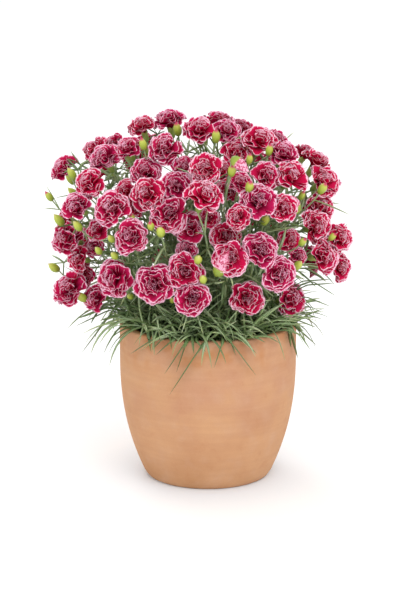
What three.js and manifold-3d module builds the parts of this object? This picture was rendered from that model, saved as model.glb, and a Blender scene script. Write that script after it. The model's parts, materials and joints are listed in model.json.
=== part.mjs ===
// A dwarf carnation in full flower, in a round terracotta pot.
//
// Every shoot is one body of green: its stem stands in a hole in the soil, forks into flowering
// stems, and carries narrow leaves, buds and the calyx under each bloom. The double blooms sit on
// their calyxes, and blooms that press into each other hold together as one body of petals.
//
// Millimetres, +Z up. The origin is the middle of the pot's base, and the front of the pot faces -Y.

import * as THREE from "three";
import { mergeVertices } from "three/addons/utils/BufferGeometryUtils.js";
import Module from "manifold-3d";

const wasm = await Module();
wasm.setup();

// Pot and soil
const POT_HEIGHT = 160;
const RIM_RADIUS = 89.5;
const BASE_RADIUS = 61;
const POT_WALL = 8;
const POT_FLOOR = 10;
const POT_SIDES = 28;
const BEAD_STEP = 2;
const FIT = 0.3; // gap where one piece rests in or on another
const CLEAR = 0.9; // least room between limbs that don't touch
const SOIL_TOP = 144;
const SOIL_CROWN = 5; // how far the soil rises towards the middle
const SOIL_SIDES = 18;
const DRAIN_RADIUS = 6;
const DRAIN_RING = 26; // how far the drain holes lie from the pot's axis
const DRAIN_COUNT = 3;

// Shoots
const STEM_RADIUS = 1.6;
const BRANCH_RADIUS = 0.9;
const STALK_RADIUS = 0.7; // of a bud
const KNUCKLE_RADIUS = 2.6;
const ROOT_DEPTH = 14; // how deep a stem stands in the soil
const ROOT_ROOM = 0.7; // between a stem and the wall of its hole

// Blooms, buds and leaves
const CALYX_SHARE = 0.72; // calyx length over bloom radius
const CALYX_RADIUS_SHARE = 0.175;
const CALYX_SWELL = 1.3; // a calyx's fattest part over its mouth
const MOUTH_SHARE = 0.45; // from the calyx's mouth to the middle of the head, over bloom radius
const HEAD_DEPTH = 0.56; // of a head, over its width
const HEAD_SWELL = 1.05; // of the room that a head takes, over its radius
const BUD_LENGTH = 13;
const BUD_RADIUS = 3.4;
const LEAF_WIDTH = 3.4;
const LEAF_KEEL = 1.1; // thickness of a leaf at its keel

const UP = new THREE.Vector3(0, 0, 1);
const vec = (x, y, z) => new THREE.Vector3(x, y, z);
const rad = THREE.MathUtils.degToRad;

// Repeatable draws: the same seed always gives the same row of numbers from 0 to 1.
function drawsFrom(seed) {
  let state = (seed * 7919 + 12345) % 2147483647;
  const draw = () => (state = (state * 16807) % 2147483647) / 2147483647;
  draw();
  draw();
  return draw;
}

const outward = (turn, tilt) =>
  vec(Math.cos(tilt) * Math.cos(turn), Math.cos(tilt) * Math.sin(turn), Math.sin(tilt));

// The item with the least distance, by the measure given.
const nearest = (items, distance) =>
  items.reduce((best, item) => (distance(item) < distance(best) ? item : best));

const pairs = (list) => list.flatMap((a, i) => list.slice(i + 1).map((b) => [a, b]));

// Where the flowers stand

// The place that the two tables below are read from: in front of the pot and above it.
const VIEWPOINT = vec(-8, -2300, 750);
const SIGHT_UP = vec(0, 0.24, 0.97);
const RIM_CENTRE = vec(0, 0, POT_HEIGHT);
const DOME_CENTRE = vec(-5, 6, 268);
const DOME_AXES = vec(146, 122, 99);

// Blooms of the front: across from the pot's axis, up from the middle of its rim, the head's width,
// and how far behind the dome's face the head stands.
const FRONT_BLOOMS = [
  [-146, 153, 31, 0], [-116, 173, 30, 24], [-104, 166, 33, 0], [-81, 173, 28, 8],
  [-95, 178, 24, 36], [-67, 197, 30, 10], [-120, 137, 33, 0], [-134, 112, 32, 6],
  [-98, 115, 36, 0], [-62, 148, 31, 24], [-63, 127, 35, 0], [-70, 113, 24, 28],
  [-42, 176, 37, 0], [-37, 202, 33, 20], [-10, 192, 34, 4], [19, 194, 30, 8],
  [51, 183, 35, 0], [69, 183, 24, 28], [77, 168, 32, 6], [84, 144, 35, 0],
  [117, 140, 34, 0], [112, 115, 31, 18], [30, 167, 30, 14], [58, 146, 28, 14],
  [32, 140, 24, 8], [21, 131, 24, 24], [-2, 154, 32, 6], [15, 152, 25, 26],
  [-24, 153, 26, 26], [-32, 136, 32, 18], [-4, 124, 37, 0], [-39, 106, 38, 0],
  [-18, 95, 33, 14], [-1, 104, 22, 42], [30, 103, 26, 0], [52, 119, 37, 6],
  [76, 113, 29, 20], [109, 95, 34, 6], [135, 84, 31, 0], [114, 63, 37, 0],
  [133, 53, 29, 14], [54, 71, 36, 0], [72, 46, 35, 0], [83, 21, 35, 0],
  [39, 21, 35, 0], [19, 83, 31, 24], [21, 62, 35, 0], [-22, 68, 21, 24],
  [-22, 49, 37, 6], [-14, 21, 34, 0], [-56, 36, 39, 0], [-97, 42, 38, 0],
  [-77, 82, 35, 0], [-110, 91, 25, 22], [-143, 81, 37, 4], [-131, 63, 27, 8],
  [-117, 74, 24, 34], [-140, 32, 37, 0], [-125, 44, 26, 26], [-114, 21, 29, 14],
  [82, 81, 24, 34], [90, 64, 20, 34], [-86, 131, 24, 30],
];

// Buds of the front, read the same way: across and up.
const FRONT_BUDS = [
  [-161, 125], [-138, 148], [-151, 101], [-132, 95], [-98, 82], [-111, 70],
  [-95, 65], [-156, 53], [-128, 23], [-79, 24], [-77, 103], [-58, 95], [-48, 89], [-32, 32],
  [-36, 20], [-10, 61], [-5, 41], [9, 47], [-31, 193], [-66, 178], [8, 186], [42, 163],
  [24, 151], [42, 135], [62, 172], [95, 126], [116, 133], [90, 112], [58, 101], [96, 79],
  [91, 55], [126, 84],
];

// Blooms and buds of the back, where the tables don't reach, are drawn by rule.
const BACK_PLACES = 420;
const BUD_SKIP = 17; // every so many places of the back has a bud, where there is room
const BACK_SPACING = 1.33; // distance between two heads of the back, over their radii together
const BACK_RADIUS = 13.5; // of the smallest bloom of the back
const BACK_RADIUS_CHANGE = 5;
const BACK_LOWEST = 182; // height above which the back has blooms

// The point in line with a place seen from the front, on the dome's face or as near as the line comes.
function onDome(across, up) {
  const target = RIM_CENTRE.clone().addScaledVector(vec(1, 0, 0), across).addScaledVector(SIGHT_UP, up);
  const line = target.sub(VIEWPOINT);
  const from = VIEWPOINT.clone().sub(DOME_CENTRE).divide(DOME_AXES);
  const along = line.clone().divide(DOME_AXES);
  const a = along.dot(along);
  const b = from.dot(along);
  const c = from.dot(from) - 1;
  const share = (-b - Math.sqrt(Math.max(0, b * b - a * c))) / a;
  return { share, line, point: VIEWPOINT.clone().addScaledVector(line, share) };
}

// Heads face outwards, level at the skirt of the plant and nearly upright on its crown. Those of the
// front turn towards the light in front of it, least on the crown.
const LIGHT = vec(0, -0.97, 0.24);
const TURN_TO_LIGHT = 0.75;
const SKIRT_HEIGHT = 180;
const DOME_TOP = 365;
const SKIRT_TILT = rad(9);
const CROWN_TILT = rad(75);
const TILT_CHANGE = rad(16);
const TURN_CHANGE = rad(20);
function facingAt(point, draw, lit) {
  const height = THREE.MathUtils.clamp((point.z - SKIRT_HEIGHT) / (DOME_TOP - SKIRT_HEIGHT), 0, 1);
  const tilt = SKIRT_TILT + (CROWN_TILT - SKIRT_TILT) * height * height + TILT_CHANGE * (draw() - 0.5);
  const turn = Math.atan2(point.y - DOME_CENTRE.y, point.x - DOME_CENTRE.x) + TURN_CHANGE * (draw() - 0.5);
  const facing = outward(turn, tilt);
  return lit ? facing.addScaledVector(LIGHT, TURN_TO_LIGHT * (1 - 0.7 * height)).normalize() : facing;
}

// How heads settle
const CLOSEST_HEADS = 1; // nearness of two free heads
const PRESSED_HEADS = 0.82; // how far apart two heads lie that press together, over their radii together
const HOMING = 0.2; // share of its way that a head of the front drifts back in a round
const BUNCHES = 43;
const BUNCH_MOST = 4; // heads
const CALYX_REACH = 1.9; // how far behind a head its calyx and branch keep other heads off, over its radius

// How two heads lie: across the way they face, along it, and how near they are, 1 where they would
// just touch as flattened balls that face the same way.
function lie(a, b) {
  const apart = b.point.clone().sub(a.point);
  const facing = a.facing.clone().add(b.facing).normalize();
  const along = apart.dot(facing);
  const aside = apart.addScaledVector(facing, -along);
  const across = aside.length();
  const nearness = Math.hypot(across, along / HEAD_DEPTH) / (a.radius + b.radius);
  return { across, along, nearness, facing, aside: aside.normalize() };
}

// Moves two heads towards each other along a way from the first to the second, or apart.
function bring(a, b, way, share) {
  a.point.addScaledVector(way, share);
  b.point.addScaledVector(way, -share);
}

// Presses two heads together side by side.
function press(a, b) {
  const { across, along, facing, aside } = lie(a, b);
  bring(a, b, facing, along / 8);
  if (across > PRESSED_HEADS * (a.radius + b.radius)) bring(a, b, aside, 0.5);
}

// Of two heads that are too near, the one behind moves back along its line of sight. Heads of the
// back have none, and move straight away.
function spread(a, b) {
  const [front, back] = a.inset <= b.inset ? [a, b] : [b, a];
  const away = back.point.clone().sub(front.point).normalize();
  front.point.addScaledVector(front.ray ?? away, -0.1);
  back.point.addScaledVector(back.ray ?? away, 0.8);
}

// A head that lies behind another keeps off its calyx, and moves aside.
function keepOffCalyx(a, b) {
  const apart = b.point.clone().sub(a.point);
  const behind = -apart.dot(a.facing);
  if (behind < -0.1 * a.radius || behind > CALYX_REACH * a.radius) return;
  const aside = apart.addScaledVector(a.facing, behind);
  const calyx = CALYX_SWELL * CALYX_RADIUS_SHARE * a.radius;
  const missing = HEAD_SWELL * b.radius + calyx + CLEAR - aside.length();
  if (missing > 0) bring(a, b, aside.normalize(), -missing / 4);
}

// A head of the front drifts back to its line of sight.
function homeIn({ point, ray }) {
  if (!ray) return;
  const off = point.clone().sub(VIEWPOINT);
  off.addScaledVector(ray, -off.dot(ray));
  point.addScaledVector(off, -HOMING);
}

const FREE_ROUNDS = 30;
const PRESSING_ROUNDS = 80;
const blooms = FRONT_BLOOMS.map(([across, up, width, inset], i) => {
  const { line, point } = onDome(across, up);
  const ray = line.clone().normalize();
  const facing = facingAt(point, drawsFrom(1000 + i), true);
  return { point: point.addScaledVector(ray, inset), ray, radius: width / 2, inset, facing };
});

for (let round = 0; round < FREE_ROUNDS; round++)
  for (const [a, b] of pairs(blooms)) if (lie(a, b).nearness < CLOSEST_HEADS) spread(a, b);

const GOLDEN_TURN = Math.PI * (3 - Math.sqrt(5));
const backPoint = (k, swell) => {
  const level = 1 - (2 * (k + 0.5)) / BACK_PLACES;
  const ring = Math.sqrt(1 - level * level);
  return vec(ring * Math.cos(k * GOLDEN_TURN), ring * Math.sin(k * GOLDEN_TURN), level)
    .multiply(DOME_AXES).multiplyScalar(swell).add(DOME_CENTRE);
};
for (let k = 0; k < BACK_PLACES; k++) {
  const draw = drawsFrom(100 + k);
  const radius = BACK_RADIUS + BACK_RADIUS_CHANGE * draw();
  const point = backPoint(k, 1 - 0.05 * draw());
  const open = point.z > BACK_LOWEST && point.y > 0;
  const free = blooms.every((b) => b.point.distanceTo(point) > (b.radius + radius) * BACK_SPACING);
  if (open && free) blooms.push({ point, radius, inset: 0, facing: facingAt(point, draw, false) });
}

// Neighbouring heads press together in small bunches. The nearest two bunches join until few enough
// are left, and the two heads that join them are pulled into each other.
blooms.forEach((bloom) => (bloom.bunch = [bloom]));
const sideBySide = pairs(blooms).map(([a, b]) => ({ a, b, ...lie(a, b) }))
  .filter(({ a, b, across, along }) => Math.abs(along) < 0.6 * across && a.facing.dot(b.facing) > 0.75);
const touching = [];
let bunchCount = blooms.length;
for (const { a, b } of sideBySide.sort((p, q) => p.nearness - q.nearness)) {
  const joined = [...a.bunch, ...b.bunch];
  if (bunchCount === BUNCHES || a.bunch === b.bunch || joined.length > BUNCH_MOST) continue;
  joined.forEach((bloom) => (bloom.bunch = joined));
  touching.push([a, b]);
  bunchCount--;
}
for (let round = 0; round < PRESSING_ROUNDS; round++) {
  for (const [a, b] of touching) press(a, b);
  for (const [a, b] of pairs(blooms)) {
    const { nearness } = lie(a, b);
    if (a.bunch !== b.bunch && nearness < CLOSEST_HEADS) spread(a, b);
    if (nearness < 3) {
      keepOffCalyx(a, b);
      keepOffCalyx(b, a);
    }
  }
  blooms.forEach(homeIn);
}

// Each head but one of a bunch has a petal that reaches into a neighbour.
for (const bunch of new Set(blooms.map((bloom) => bloom.bunch))) {
  const reached = [bunch[0]];
  for (const bloom of reached)
    for (const pair of touching.filter((both) => both.includes(bloom))) {
      const other = pair.find((each) => each !== bloom);
      if (reached.includes(other)) continue;
      other.mate = bloom;
      reached.push(other);
    }
}

// A head turns about its own middle, and its calyx turns with it.
function turnHead(bloom, facing) {
  bloom.facing = facing;
  bloom.mouth = bloom.point.clone().addScaledVector(facing, -MOUTH_SHARE * bloom.radius);
  bloom.foot = bloom.mouth.clone().addScaledVector(facing, -CALYX_SHARE * bloom.radius);
}
blooms.forEach((bloom, i) => {
  bloom.index = i;
  turnHead(bloom, bloom.facing);
});

// Curves

const cubic = (a, b, c, d) => new THREE.CubicBezierCurve3(a, b, c, d);

// Limbs run straight between bends, which lie at shares of their curve. These are points along one.
function beadsAlong(curve, bends) {
  const corners = [0, ...bends, 1].map((share) => curve.getPoint(share));
  const beads = corners.slice(1).flatMap((corner, i) => {
    const spans = Math.ceil(corner.distanceTo(corners[i]) / BEAD_STEP);
    return Array.from({ length: spans }, (_, k) => corners[i].clone().lerp(corner, k / spans));
  });
  return [...beads, corners.at(-1)];
}

// What already takes up room

// Stems, calyxes, buds and leaves are noted as beads, each in the cell that it lies in.
const CELL = 10;
const cells = new Map();
const cellKey = (x, y, z) => `${x},${y},${z}`;
const cellOf = (point) => point.toArray().map((v) => Math.floor(v / CELL));

function take(points, radius) {
  for (const point of points) {
    const key = cellKey(...cellOf(point));
    if (!cells.has(key)) cells.set(key, []);
    cells.get(key).push({ point, radius });
  }
}

function meetsBead(point, radius) {
  const [x, y, z] = cellOf(point);
  for (let i = x - 1; i <= x + 1; i++)
    for (let j = y - 1; j <= y + 1; j++)
      for (let k = z - 1; k <= z + 1; k++)
        for (const bead of cells.get(cellKey(i, j, k)) ?? [])
          if (bead.point.distanceTo(point) < bead.radius + radius + CLEAR) return true;
  return false;
}

// A head is taken as a flattened ball.
function meetsBloom(point, radius, own) {
  return blooms.some((bloom) => {
    if (bloom === own) return false;
    const away = point.clone().sub(bloom.point);
    const reach = HEAD_SWELL * bloom.radius + radius + FIT;
    if (away.lengthSq() > reach * reach) return false;
    const axial = away.dot(bloom.facing);
    const lateral = Math.sqrt(Math.max(0, away.lengthSq() - axial * axial));
    const depth = HEAD_SWELL * HEAD_DEPTH * bloom.radius + radius + FIT;
    return (lateral / reach) ** 2 + (axial / depth) ** 2 < 1;
  });
}

const soilLevel = (ring) => SOIL_TOP + SOIL_CROWN * (1 - (ring / RIM_RADIUS) ** 2);

function meetsPot(point, radius) {
  const ring = Math.hypot(point.x, point.y);
  const room = radius + CLEAR;
  const inReach = ring > RIM_RADIUS - POT_WALL - room && ring < RIM_RADIUS + room;
  const inWall = inReach && point.z < POT_HEIGHT + room;
  const inSoil = ring < RIM_RADIUS && point.z < soilLevel(ring) + room;
  return inWall || inSoil;
}

function isClear(points, radius, own = null) {
  return !points.some((point) =>
    meetsPot(point, radius) || meetsBloom(point, radius, own) || meetsBead(point, radius));
}

// Solids

function solidOf(geometry) {
  const bare = geometry.clone();
  bare.deleteAttribute("normal");
  bare.deleteAttribute("uv");
  const merged = mergeVertices(bare, 1e-4);
  const vertProperties = new Float32Array(merged.attributes.position.array);
  const triVerts = new Uint32Array(merged.index.array);
  return new wasm.Manifold(new wasm.Mesh({ numProp: 3, vertProperties, triVerts }));
}

function geometryOf(solid) {
  const { vertProperties, triVerts } = solid.getMesh();
  const geometry = new THREE.BufferGeometry();
  geometry.setAttribute("position", new THREE.BufferAttribute(vertProperties, 3));
  geometry.setIndex(new THREE.BufferAttribute(triVerts, 1));
  geometry.computeVertexNormals();
  return geometry;
}

function solidFrom(points, faces) {
  const geometry = new THREE.BufferGeometry();
  geometry.setAttribute("position", new THREE.Float32BufferAttribute(points.flatMap((p) => p.toArray()), 3));
  geometry.setIndex(faces.flat());
  return solidOf(geometry);
}

const MERGE = 0.05; // corners nearer than this become one
const join = (solids) => wasm.Manifold.union(solids).simplify(MERGE);

// Faces between two rings of point numbers, each counter-clockwise round the way from low to high.
// The rings may differ in their number of points, and a ring of one point ends the skin in a tip.
function band(low, high) {
  const faces = [];
  const [n, m] = [low.length, high.length];
  const [lowEdges, highEdges] = [n > 1 ? n : 0, m > 1 ? m : 0];
  for (let i = 0, j = 0; i < lowEdges || j < highEdges; )
    if (j >= highEdges || (i < lowEdges && (i + 1) / n <= (j + 1) / m))
      faces.push([low[i % n], low[++i % n], high[j % m]]);
    else faces.push([low[i % n], high[(j + 1) % m], high[j++ % m]]);
  return faces;
}

const cap = (ring) => ring.slice(2).map((_, k) => [ring[0], ring[k + 1], ring[k + 2]]);

// A limb grows from a ring of point numbers through further rings of points, and is closed at its end.
function grow(points, faces, from, rings) {
  let last = from;
  for (const ring of rings) {
    const next = ring.map((point) => points.push(point) - 1);
    faces.push(...band(last, next));
    last = next;
  }
  faces.push(...cap(last));
}

// A closed skin over rings of points.
function skin(rings) {
  const points = [...rings[0]];
  const first = points.map((_, i) => i);
  const faces = cap([...first].reverse());
  grow(points, faces, first, rings.slice(1));
  return solidFrom(points, faces);
}

// Knuckles

// A knuckle is a small icosahedron, where a stem forks or leaves come from. Its first face looks back
// along the stem, and each limb takes the place of the free face that looks most its way.
function makeKnuckle(centre, radius, back) {
  const shape = new THREE.IcosahedronGeometry(radius, 0);
  shape.deleteAttribute("normal");
  shape.deleteAttribute("uv");
  const { attributes, index } = mergeVertices(shape);
  const points = Array.from({ length: attributes.position.count }, (_, i) =>
    new THREE.Vector3().fromBufferAttribute(attributes.position, i));
  const middleOf = (corners) => corners.reduce((sum, i) => sum.add(points[i]), vec(0, 0, 0)).divideScalar(3);
  const sides = Array.from({ length: index.count / 3 }, (_, i) =>
    [0, 1, 2].map((k) => index.getX(3 * i + k)));
  const turn = new THREE.Quaternion().setFromUnitVectors(middleOf(sides[0]).normalize(), back);
  points.forEach((point) => point.applyQuaternion(turn));
  const looks = sides.map((corners) => middleOf(corners));
  points.forEach((point) => point.add(centre));
  const faces = sides.map((corners, i) => ({
    corners,
    middle: looks[i].clone().add(centre),
    way: looks[i].clone().normalize(),
    free: i > 0,
  }));
  return { centre, points, faces };
}

const freeFace = (knuckle, way) =>
  nearest(knuckle.faces.filter((face) => face.free), (face) => -face.way.dot(way));

// The knuckle with its limbs. Each limb's first ring joins on with as little twist as it can.
function knuckleSolid(knuckle, limbs) {
  const points = knuckle.points.map((point) => point.clone());
  const bare = knuckle.faces.filter((face) => !limbs.some((limb) => limb.face === face));
  const faces = bare.map((face) => face.corners);
  for (const { face, rings } of limbs) {
    const turns = face.corners.map((_, k) => [...face.corners.slice(k), ...face.corners.slice(0, k)]);
    const twist = (turn) => turn.reduce((sum, corner, k) => sum + points[corner].distanceTo(rings[0][k]), 0);
    grow(points, faces, nearest(turns, twist), rings);
  }
  return solidFrom(points, faces);
}

// Shoots

// Tiers of shoots: how steeply a tier reaches for its flowers, how many shoots it has, which way its
// first one points, and how far from the middle they stand in the soil.
const TIERS = [[90, 1, 0, 6], [62, 5, 54, 26], [30, 9, 10, 52]];
const CROWN = vec(0, 0, 165);
const HUB_SHARE = 0.5; // where a stem forks, between the crown and the middle of its flowers
const MOST_BLOOMS = 9; // of one shoot
const STEM_RISE = 38; // how far a stem first rises straight from the soil
const STEM_SPLAY = 4; // and how far it leans out over that
const STEM_RUN_IN = 24; // length over which it straightens towards its fork

const shoots = TIERS.flatMap(([tilt, count, first, ring]) =>
  Array.from({ length: count }, (_, i) => {
    const turn = rad(first + (360 * i) / count);
    const root = outward(turn, 0).multiplyScalar(ring).setZ(SOIL_TOP);
    return { turn, root, aim: outward(turn, rad(tilt)), blooms: [], buds: [], pairs: [], tufts: [] };
  }));
const isOuter = (shoot) => shoot.aim.z < Math.SQRT1_2;
const stemBends = (shoot) => (isOuter(shoot) ? [0.02, 0.2, 0.4, 0.7] : [0.02, 0.35, 0.68]);

const wayTo = (bloom) => bloom.mouth.clone().sub(CROWN).normalize();
const choices = blooms.flatMap((bloom) =>
  shoots.map((shoot) => ({ bloom, shoot, fit: shoot.aim.dot(wayTo(bloom)) })));
const placed = new Set();
for (const { bloom, shoot } of choices.sort((a, b) => b.fit - a.fit)) {
  if (placed.has(bloom) || shoot.blooms.length === MOST_BLOOMS) continue;
  shoot.blooms.push(bloom);
  placed.add(bloom);
}

for (const shoot of shoots) {
  const total = shoot.blooms.reduce((sum, bloom) => sum.add(bloom.mouth), vec(0, 0, 0));
  const mean = total.divideScalar(shoot.blooms.length);
  const hub = CROWN.clone().lerp(mean, HUB_SHARE);
  const last = mean.clone().sub(hub).normalize();
  shoot.knuckle = makeKnuckle(hub, KNUCKLE_RADIUS, last.clone().negate());
  const end = shoot.knuckle.faces[0].middle;
  const rise = shoot.root.clone().addScaledVector(UP, STEM_RISE);
  const first = rise.addScaledVector(outward(shoot.turn, 0), STEM_SPLAY);
  shoot.stem = cubic(shoot.root, first, end.clone().addScaledVector(last, -STEM_RUN_IN), end);
  take(beadsAlong(shoot.stem, stemBends(shoot)).slice(0, -2), STEM_RADIUS);
}

// Flowering branches

const TRIES = 80;
const SWAY = 1.2; // how much further each try may bend a branch
const SWING = 0.012; // and how much further it may turn the head
const FREE_BEADS = 4; // beads at the root of a limb that may lie by its neighbours
const BRANCH_BENDS = [0.35, 0.7]; // where a branch bends, over its length
const calyxBeads = (bloom) => beadsAlong(new THREE.LineCurve3(bloom.foot, bloom.mouth), []);
const jolter = (draw) => (size) => vec(draw() - 0.5, draw() - 0.5, draw() - 0.5).multiplyScalar(2 * size);

function routeBranch(bloom, shoot) {
  const jolt = jolter(drawsFrom(2000 + bloom.index));
  const face = freeFace(shoot.knuckle, bloom.foot.clone().sub(shoot.knuckle.centre).normalize());
  const calyxRadius = CALYX_SWELL * CALYX_RADIUS_SHARE * bloom.radius;
  const facing = bloom.facing;
  face.free = false;
  bloom.face = face;
  for (let t = 0; t < TRIES; t++) {
    turnHead(bloom, facing.clone().add(jolt(SWING * t)).normalize());
    const reach = bloom.foot.distanceTo(face.middle);
    const turnIn = face.middle.clone().addScaledVector(face.way, 0.25 * reach).add(jolt(SWAY * t * 0.5));
    const turnOut = bloom.foot.clone().addScaledVector(bloom.facing, -0.35 * reach).add(jolt(SWAY * t));
    bloom.branch = cubic(face.middle, turnIn, turnOut, bloom.foot);
    const beads = beadsAlong(bloom.branch, BRANCH_BENDS);
    const calyx = calyxBeads(bloom);
    if (!isClear(beads.slice(FREE_BEADS), BRANCH_RADIUS, bloom)) continue;
    if (!isClear(calyx, calyxRadius, bloom)) continue;
    take(beads, BRANCH_RADIUS);
    take(calyx, calyxRadius);
    return;
  }
  throw new Error(`bloom ${bloom.index} has no clear way to its stem`);
}
for (const shoot of shoots) {
  shoot.blooms.sort((a, b) => b.inset - a.inset);
  for (const bloom of shoot.blooms) routeBranch(bloom, shoot);
}

// Buds

const BUD_DEPTHS = [6, 0, 12, -6, 18, 24, -12, 30];
const BUD_LIFT = 0.5; // how much further up a bud points than the heads round it
const BUD_TRIES = 12;
const ROOT_LENGTH = 4; // over which a side stem widens from its root
const rootShare = (curve) => ROOT_LENGTH / curve.getLength();
const STALK_BEND = 0.5;

function addBud(place, facing, draw) {
  const scale = 0.8 + 0.35 * draw();
  const tip = place.clone().addScaledVector(facing, 0.5 * BUD_LENGTH * scale);
  const foot = place.clone().addScaledVector(facing, -0.5 * BUD_LENGTH * scale);
  const beads = beadsAlong(new THREE.LineCurve3(foot, tip), []);
  const radius = BUD_RADIUS * scale;
  const host = nearest(blooms, (bloom) => bloom.foot.distanceTo(foot));
  if (!isClear(beads, radius + CLEAR)) return false;
  const start = host.branch.getPoint(BRANCH_BENDS[0]);
  const ahead = host.branch.getTangent(BRANCH_BENDS[0]);
  const reach = foot.distanceTo(start);
  const jolt = jolter(draw);
  for (let t = 0; t < BUD_TRIES; t++) {
    const turnIn = start.clone().addScaledVector(ahead, 0.2 * reach).add(jolt(t));
    const turnOut = foot.clone().addScaledVector(facing, -0.4 * reach).add(jolt(t));
    const stalk = cubic(start, turnIn, turnOut, foot);
    const stalkBeads = beadsAlong(stalk, [rootShare(stalk), STALK_BEND]);
    if (!isClear(stalkBeads.slice(FREE_BEADS), STALK_RADIUS)) continue;
    take(stalkBeads, STALK_RADIUS);
    take(beads, radius);
    shoots.find((shoot) => shoot.blooms.includes(host)).buds.push({ stalk, foot, tip, radius });
    return true;
  }
  return false;
}

const budFacing = (point, draw, lit) => facingAt(point, draw, lit).addScaledVector(UP, BUD_LIFT).normalize();
FRONT_BUDS.forEach(([across, up], i) => {
  const draw = drawsFrom(3000 + i);
  const { line, point } = onDome(across, up);
  const ray = line.clone().normalize();
  const facing = budFacing(point, draw, true);
  BUD_DEPTHS.some((depth) => addBud(point.clone().addScaledVector(ray, depth), facing, draw));
});
for (let k = BUD_SKIP; k < BACK_PLACES; k += BUD_SKIP) {
  const draw = drawsFrom(4000 + k);
  const point = backPoint(k, 1 + 0.04 * draw());
  if (point.z > 200 && point.y > 10) addBud(point, budFacing(point, draw, false), draw);
}

// Leaves

// Where along a leaf its sections lie, and how wide they are.
const LONG = 50;
const leafSections = (curve) => (curve.getLength() > LONG ? [[0.35, 1], [0.7, 0.8]] : [[0.5, 1]]);
const leafBends = (curve) => leafSections(curve).map(([share]) => share);

// A leaf rises from its root, and bends over to fall towards its tip.
function leafCurve(root, turn, rise, fall, length) {
  const middle = root.clone().addScaledVector(outward(turn, rise), length / 2);
  const tip = middle.clone().addScaledVector(outward(turn, fall), length / 2);
  return new THREE.QuadraticBezierCurve3(root, middle, tip);
}

// Looks for a clear way for a leaf by turning and lifting it.
const LEAF_FREE_BEADS = 5; // beads at a leaf's root that may lie by its neighbours
const TURNS = [0, 9, -9, 18, -18].map(rad);
const LIFTS = [0, 12, -10, 24].map(rad);
function findLeaf(root, turn, rise, fall, length, width) {
  for (const lift of LIFTS)
    for (const swing of TURNS) {
      const curve = leafCurve(root, turn + swing, rise + lift, fall + lift, length);
      const beads = beadsAlong(curve, leafBends(curve));
      if (beads.slice(1).some((bead) => meetsPot(bead, width / 2))) continue;
      if (!isClear(beads.slice(LEAF_FREE_BEADS), width / 2)) continue;
      return { curve, turn: turn + swing, width, beads };
    }
  return null;
}

// A pair of leaves is one blade that runs through the stem. For each pair of a shoot: where along the
// stem it grows, and the length of its leaves.
const INNER_PAIRS = [[0.35, 60], [0.68, 46]];
const OUTER_PAIRS = [[0.08, 78], [0.2, 68], [0.4, 56], [0.7, 44]];
shoots.forEach((shoot, k) => {
  const draw = drawsFrom(5000 + k);
  (isOuter(shoot) ? OUTER_PAIRS : INNER_PAIRS).forEach(([share, length], p) => {
    const root = shoot.stem.getPoint(share);
    const turn = shoot.turn + (p % 2) * (Math.PI / 2) + 0.6 * (draw() - 0.5);
    const width = LEAF_WIDTH * (0.85 + 0.3 * draw());
    const sides = [0, Math.PI].map((side) => {
      const [rise, fall] = [rad(38 + 20 * draw()), rad(-25 + 40 * draw())];
      return findLeaf(root, turn + side, rise, fall, length * (0.85 + 0.3 * draw()), width);
    });
    const kept = sides.filter((leaf) => leaf);
    if (kept.length === 0) return;
    kept.forEach((leaf) => take(leaf.beads, width / 2));
    shoot.pairs.push({ root, leaves: kept });
  });
});

// Side shoots of the outer tier end in tufts by the rim, and their leaves arch over it.
const TUFT_SWINGS = [-13, 11].map(rad); // from the way that the shoot points
const TUFT_RING = 73; // how far the nearest tuft is from the pot's axis
const TUFT_HEIGHT = 157; // and how high the lowest is
const TUFT_START = 0.04; // where its stalk leaves the stem
const TUFT_BEND = 0.6; // where its stalk bends
const TUFT_LEAVES = 7;
shoots.forEach((shoot, k) => {
  if (!isOuter(shoot)) return;
  TUFT_SWINGS.forEach((swing, side) => {
    const draw = drawsFrom(6000 + 10 * k + side);
    const turn = shoot.turn + swing;
    const centre = outward(turn, 0).multiplyScalar(TUFT_RING + 3 * draw()).setZ(TUFT_HEIGHT + 11 * draw());
    const start = shoot.stem.getPoint(TUFT_START);
    const back = start.clone().sub(centre).setZ(-12).normalize();
    const knuckle = makeKnuckle(centre, KNUCKLE_RADIUS, back);
    const end = knuckle.faces[0].middle;
    const dip = start.clone().lerp(end, 0.3).addScaledVector(UP, -2);
    const stalk = cubic(start, dip, end.clone().addScaledVector(back, 8), end);
    const beads = beadsAlong(stalk, [rootShare(stalk), TUFT_BEND]);
    if (!isClear(beads.slice(FREE_BEADS, -1), BRANCH_RADIUS)) return;
    const tuft = { knuckle, stalk, leaves: [] };
    const overRim = outward(turn, 0.3);
    const ways = knuckle.faces.slice(1).sort((a, b) => b.way.dot(overRim) - a.way.dot(overRim));
    for (const face of ways.slice(0, TUFT_LEAVES)) {
      const leafTurn = Math.atan2(face.way.y, face.way.x) + 0.2 * (draw() - 0.5);
      const rise = THREE.MathUtils.clamp(Math.asin(face.way.z), rad(8), rad(58));
      const width = LEAF_WIDTH * (0.9 + 0.25 * draw());
      const leaf = findLeaf(face.middle, leafTurn, rise, rad(-48 - 30 * draw()), 50 + 34 * draw(), width);
      if (!leaf) continue;
      tuft.leaves.push({ face, ...leaf });
      take(leaf.beads, width / 2);
    }
    take(beads, BRANCH_RADIUS);
    shoot.tufts.push(tuft);
  });
});

// Bodies of the plant

// The point at an angle and a reach from a centre, in the plane of two ways square to each other.
const at = (centre, across, up, reach, angle) => centre.clone()
  .addScaledVector(across, reach * Math.cos(angle))
  .addScaledVector(up, reach * Math.sin(angle));

// A ring of points about a centre, square to the way ahead, beginning on the side given.
function ring(centre, ahead, side, radius, count) {
  const across = side.clone().addScaledVector(ahead, -side.dot(ahead)).normalize();
  const up = ahead.clone().cross(across);
  return Array.from({ length: count }, (_, i) =>
    at(centre, across, up, radius, (2 * Math.PI * i) / count));
}

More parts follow.
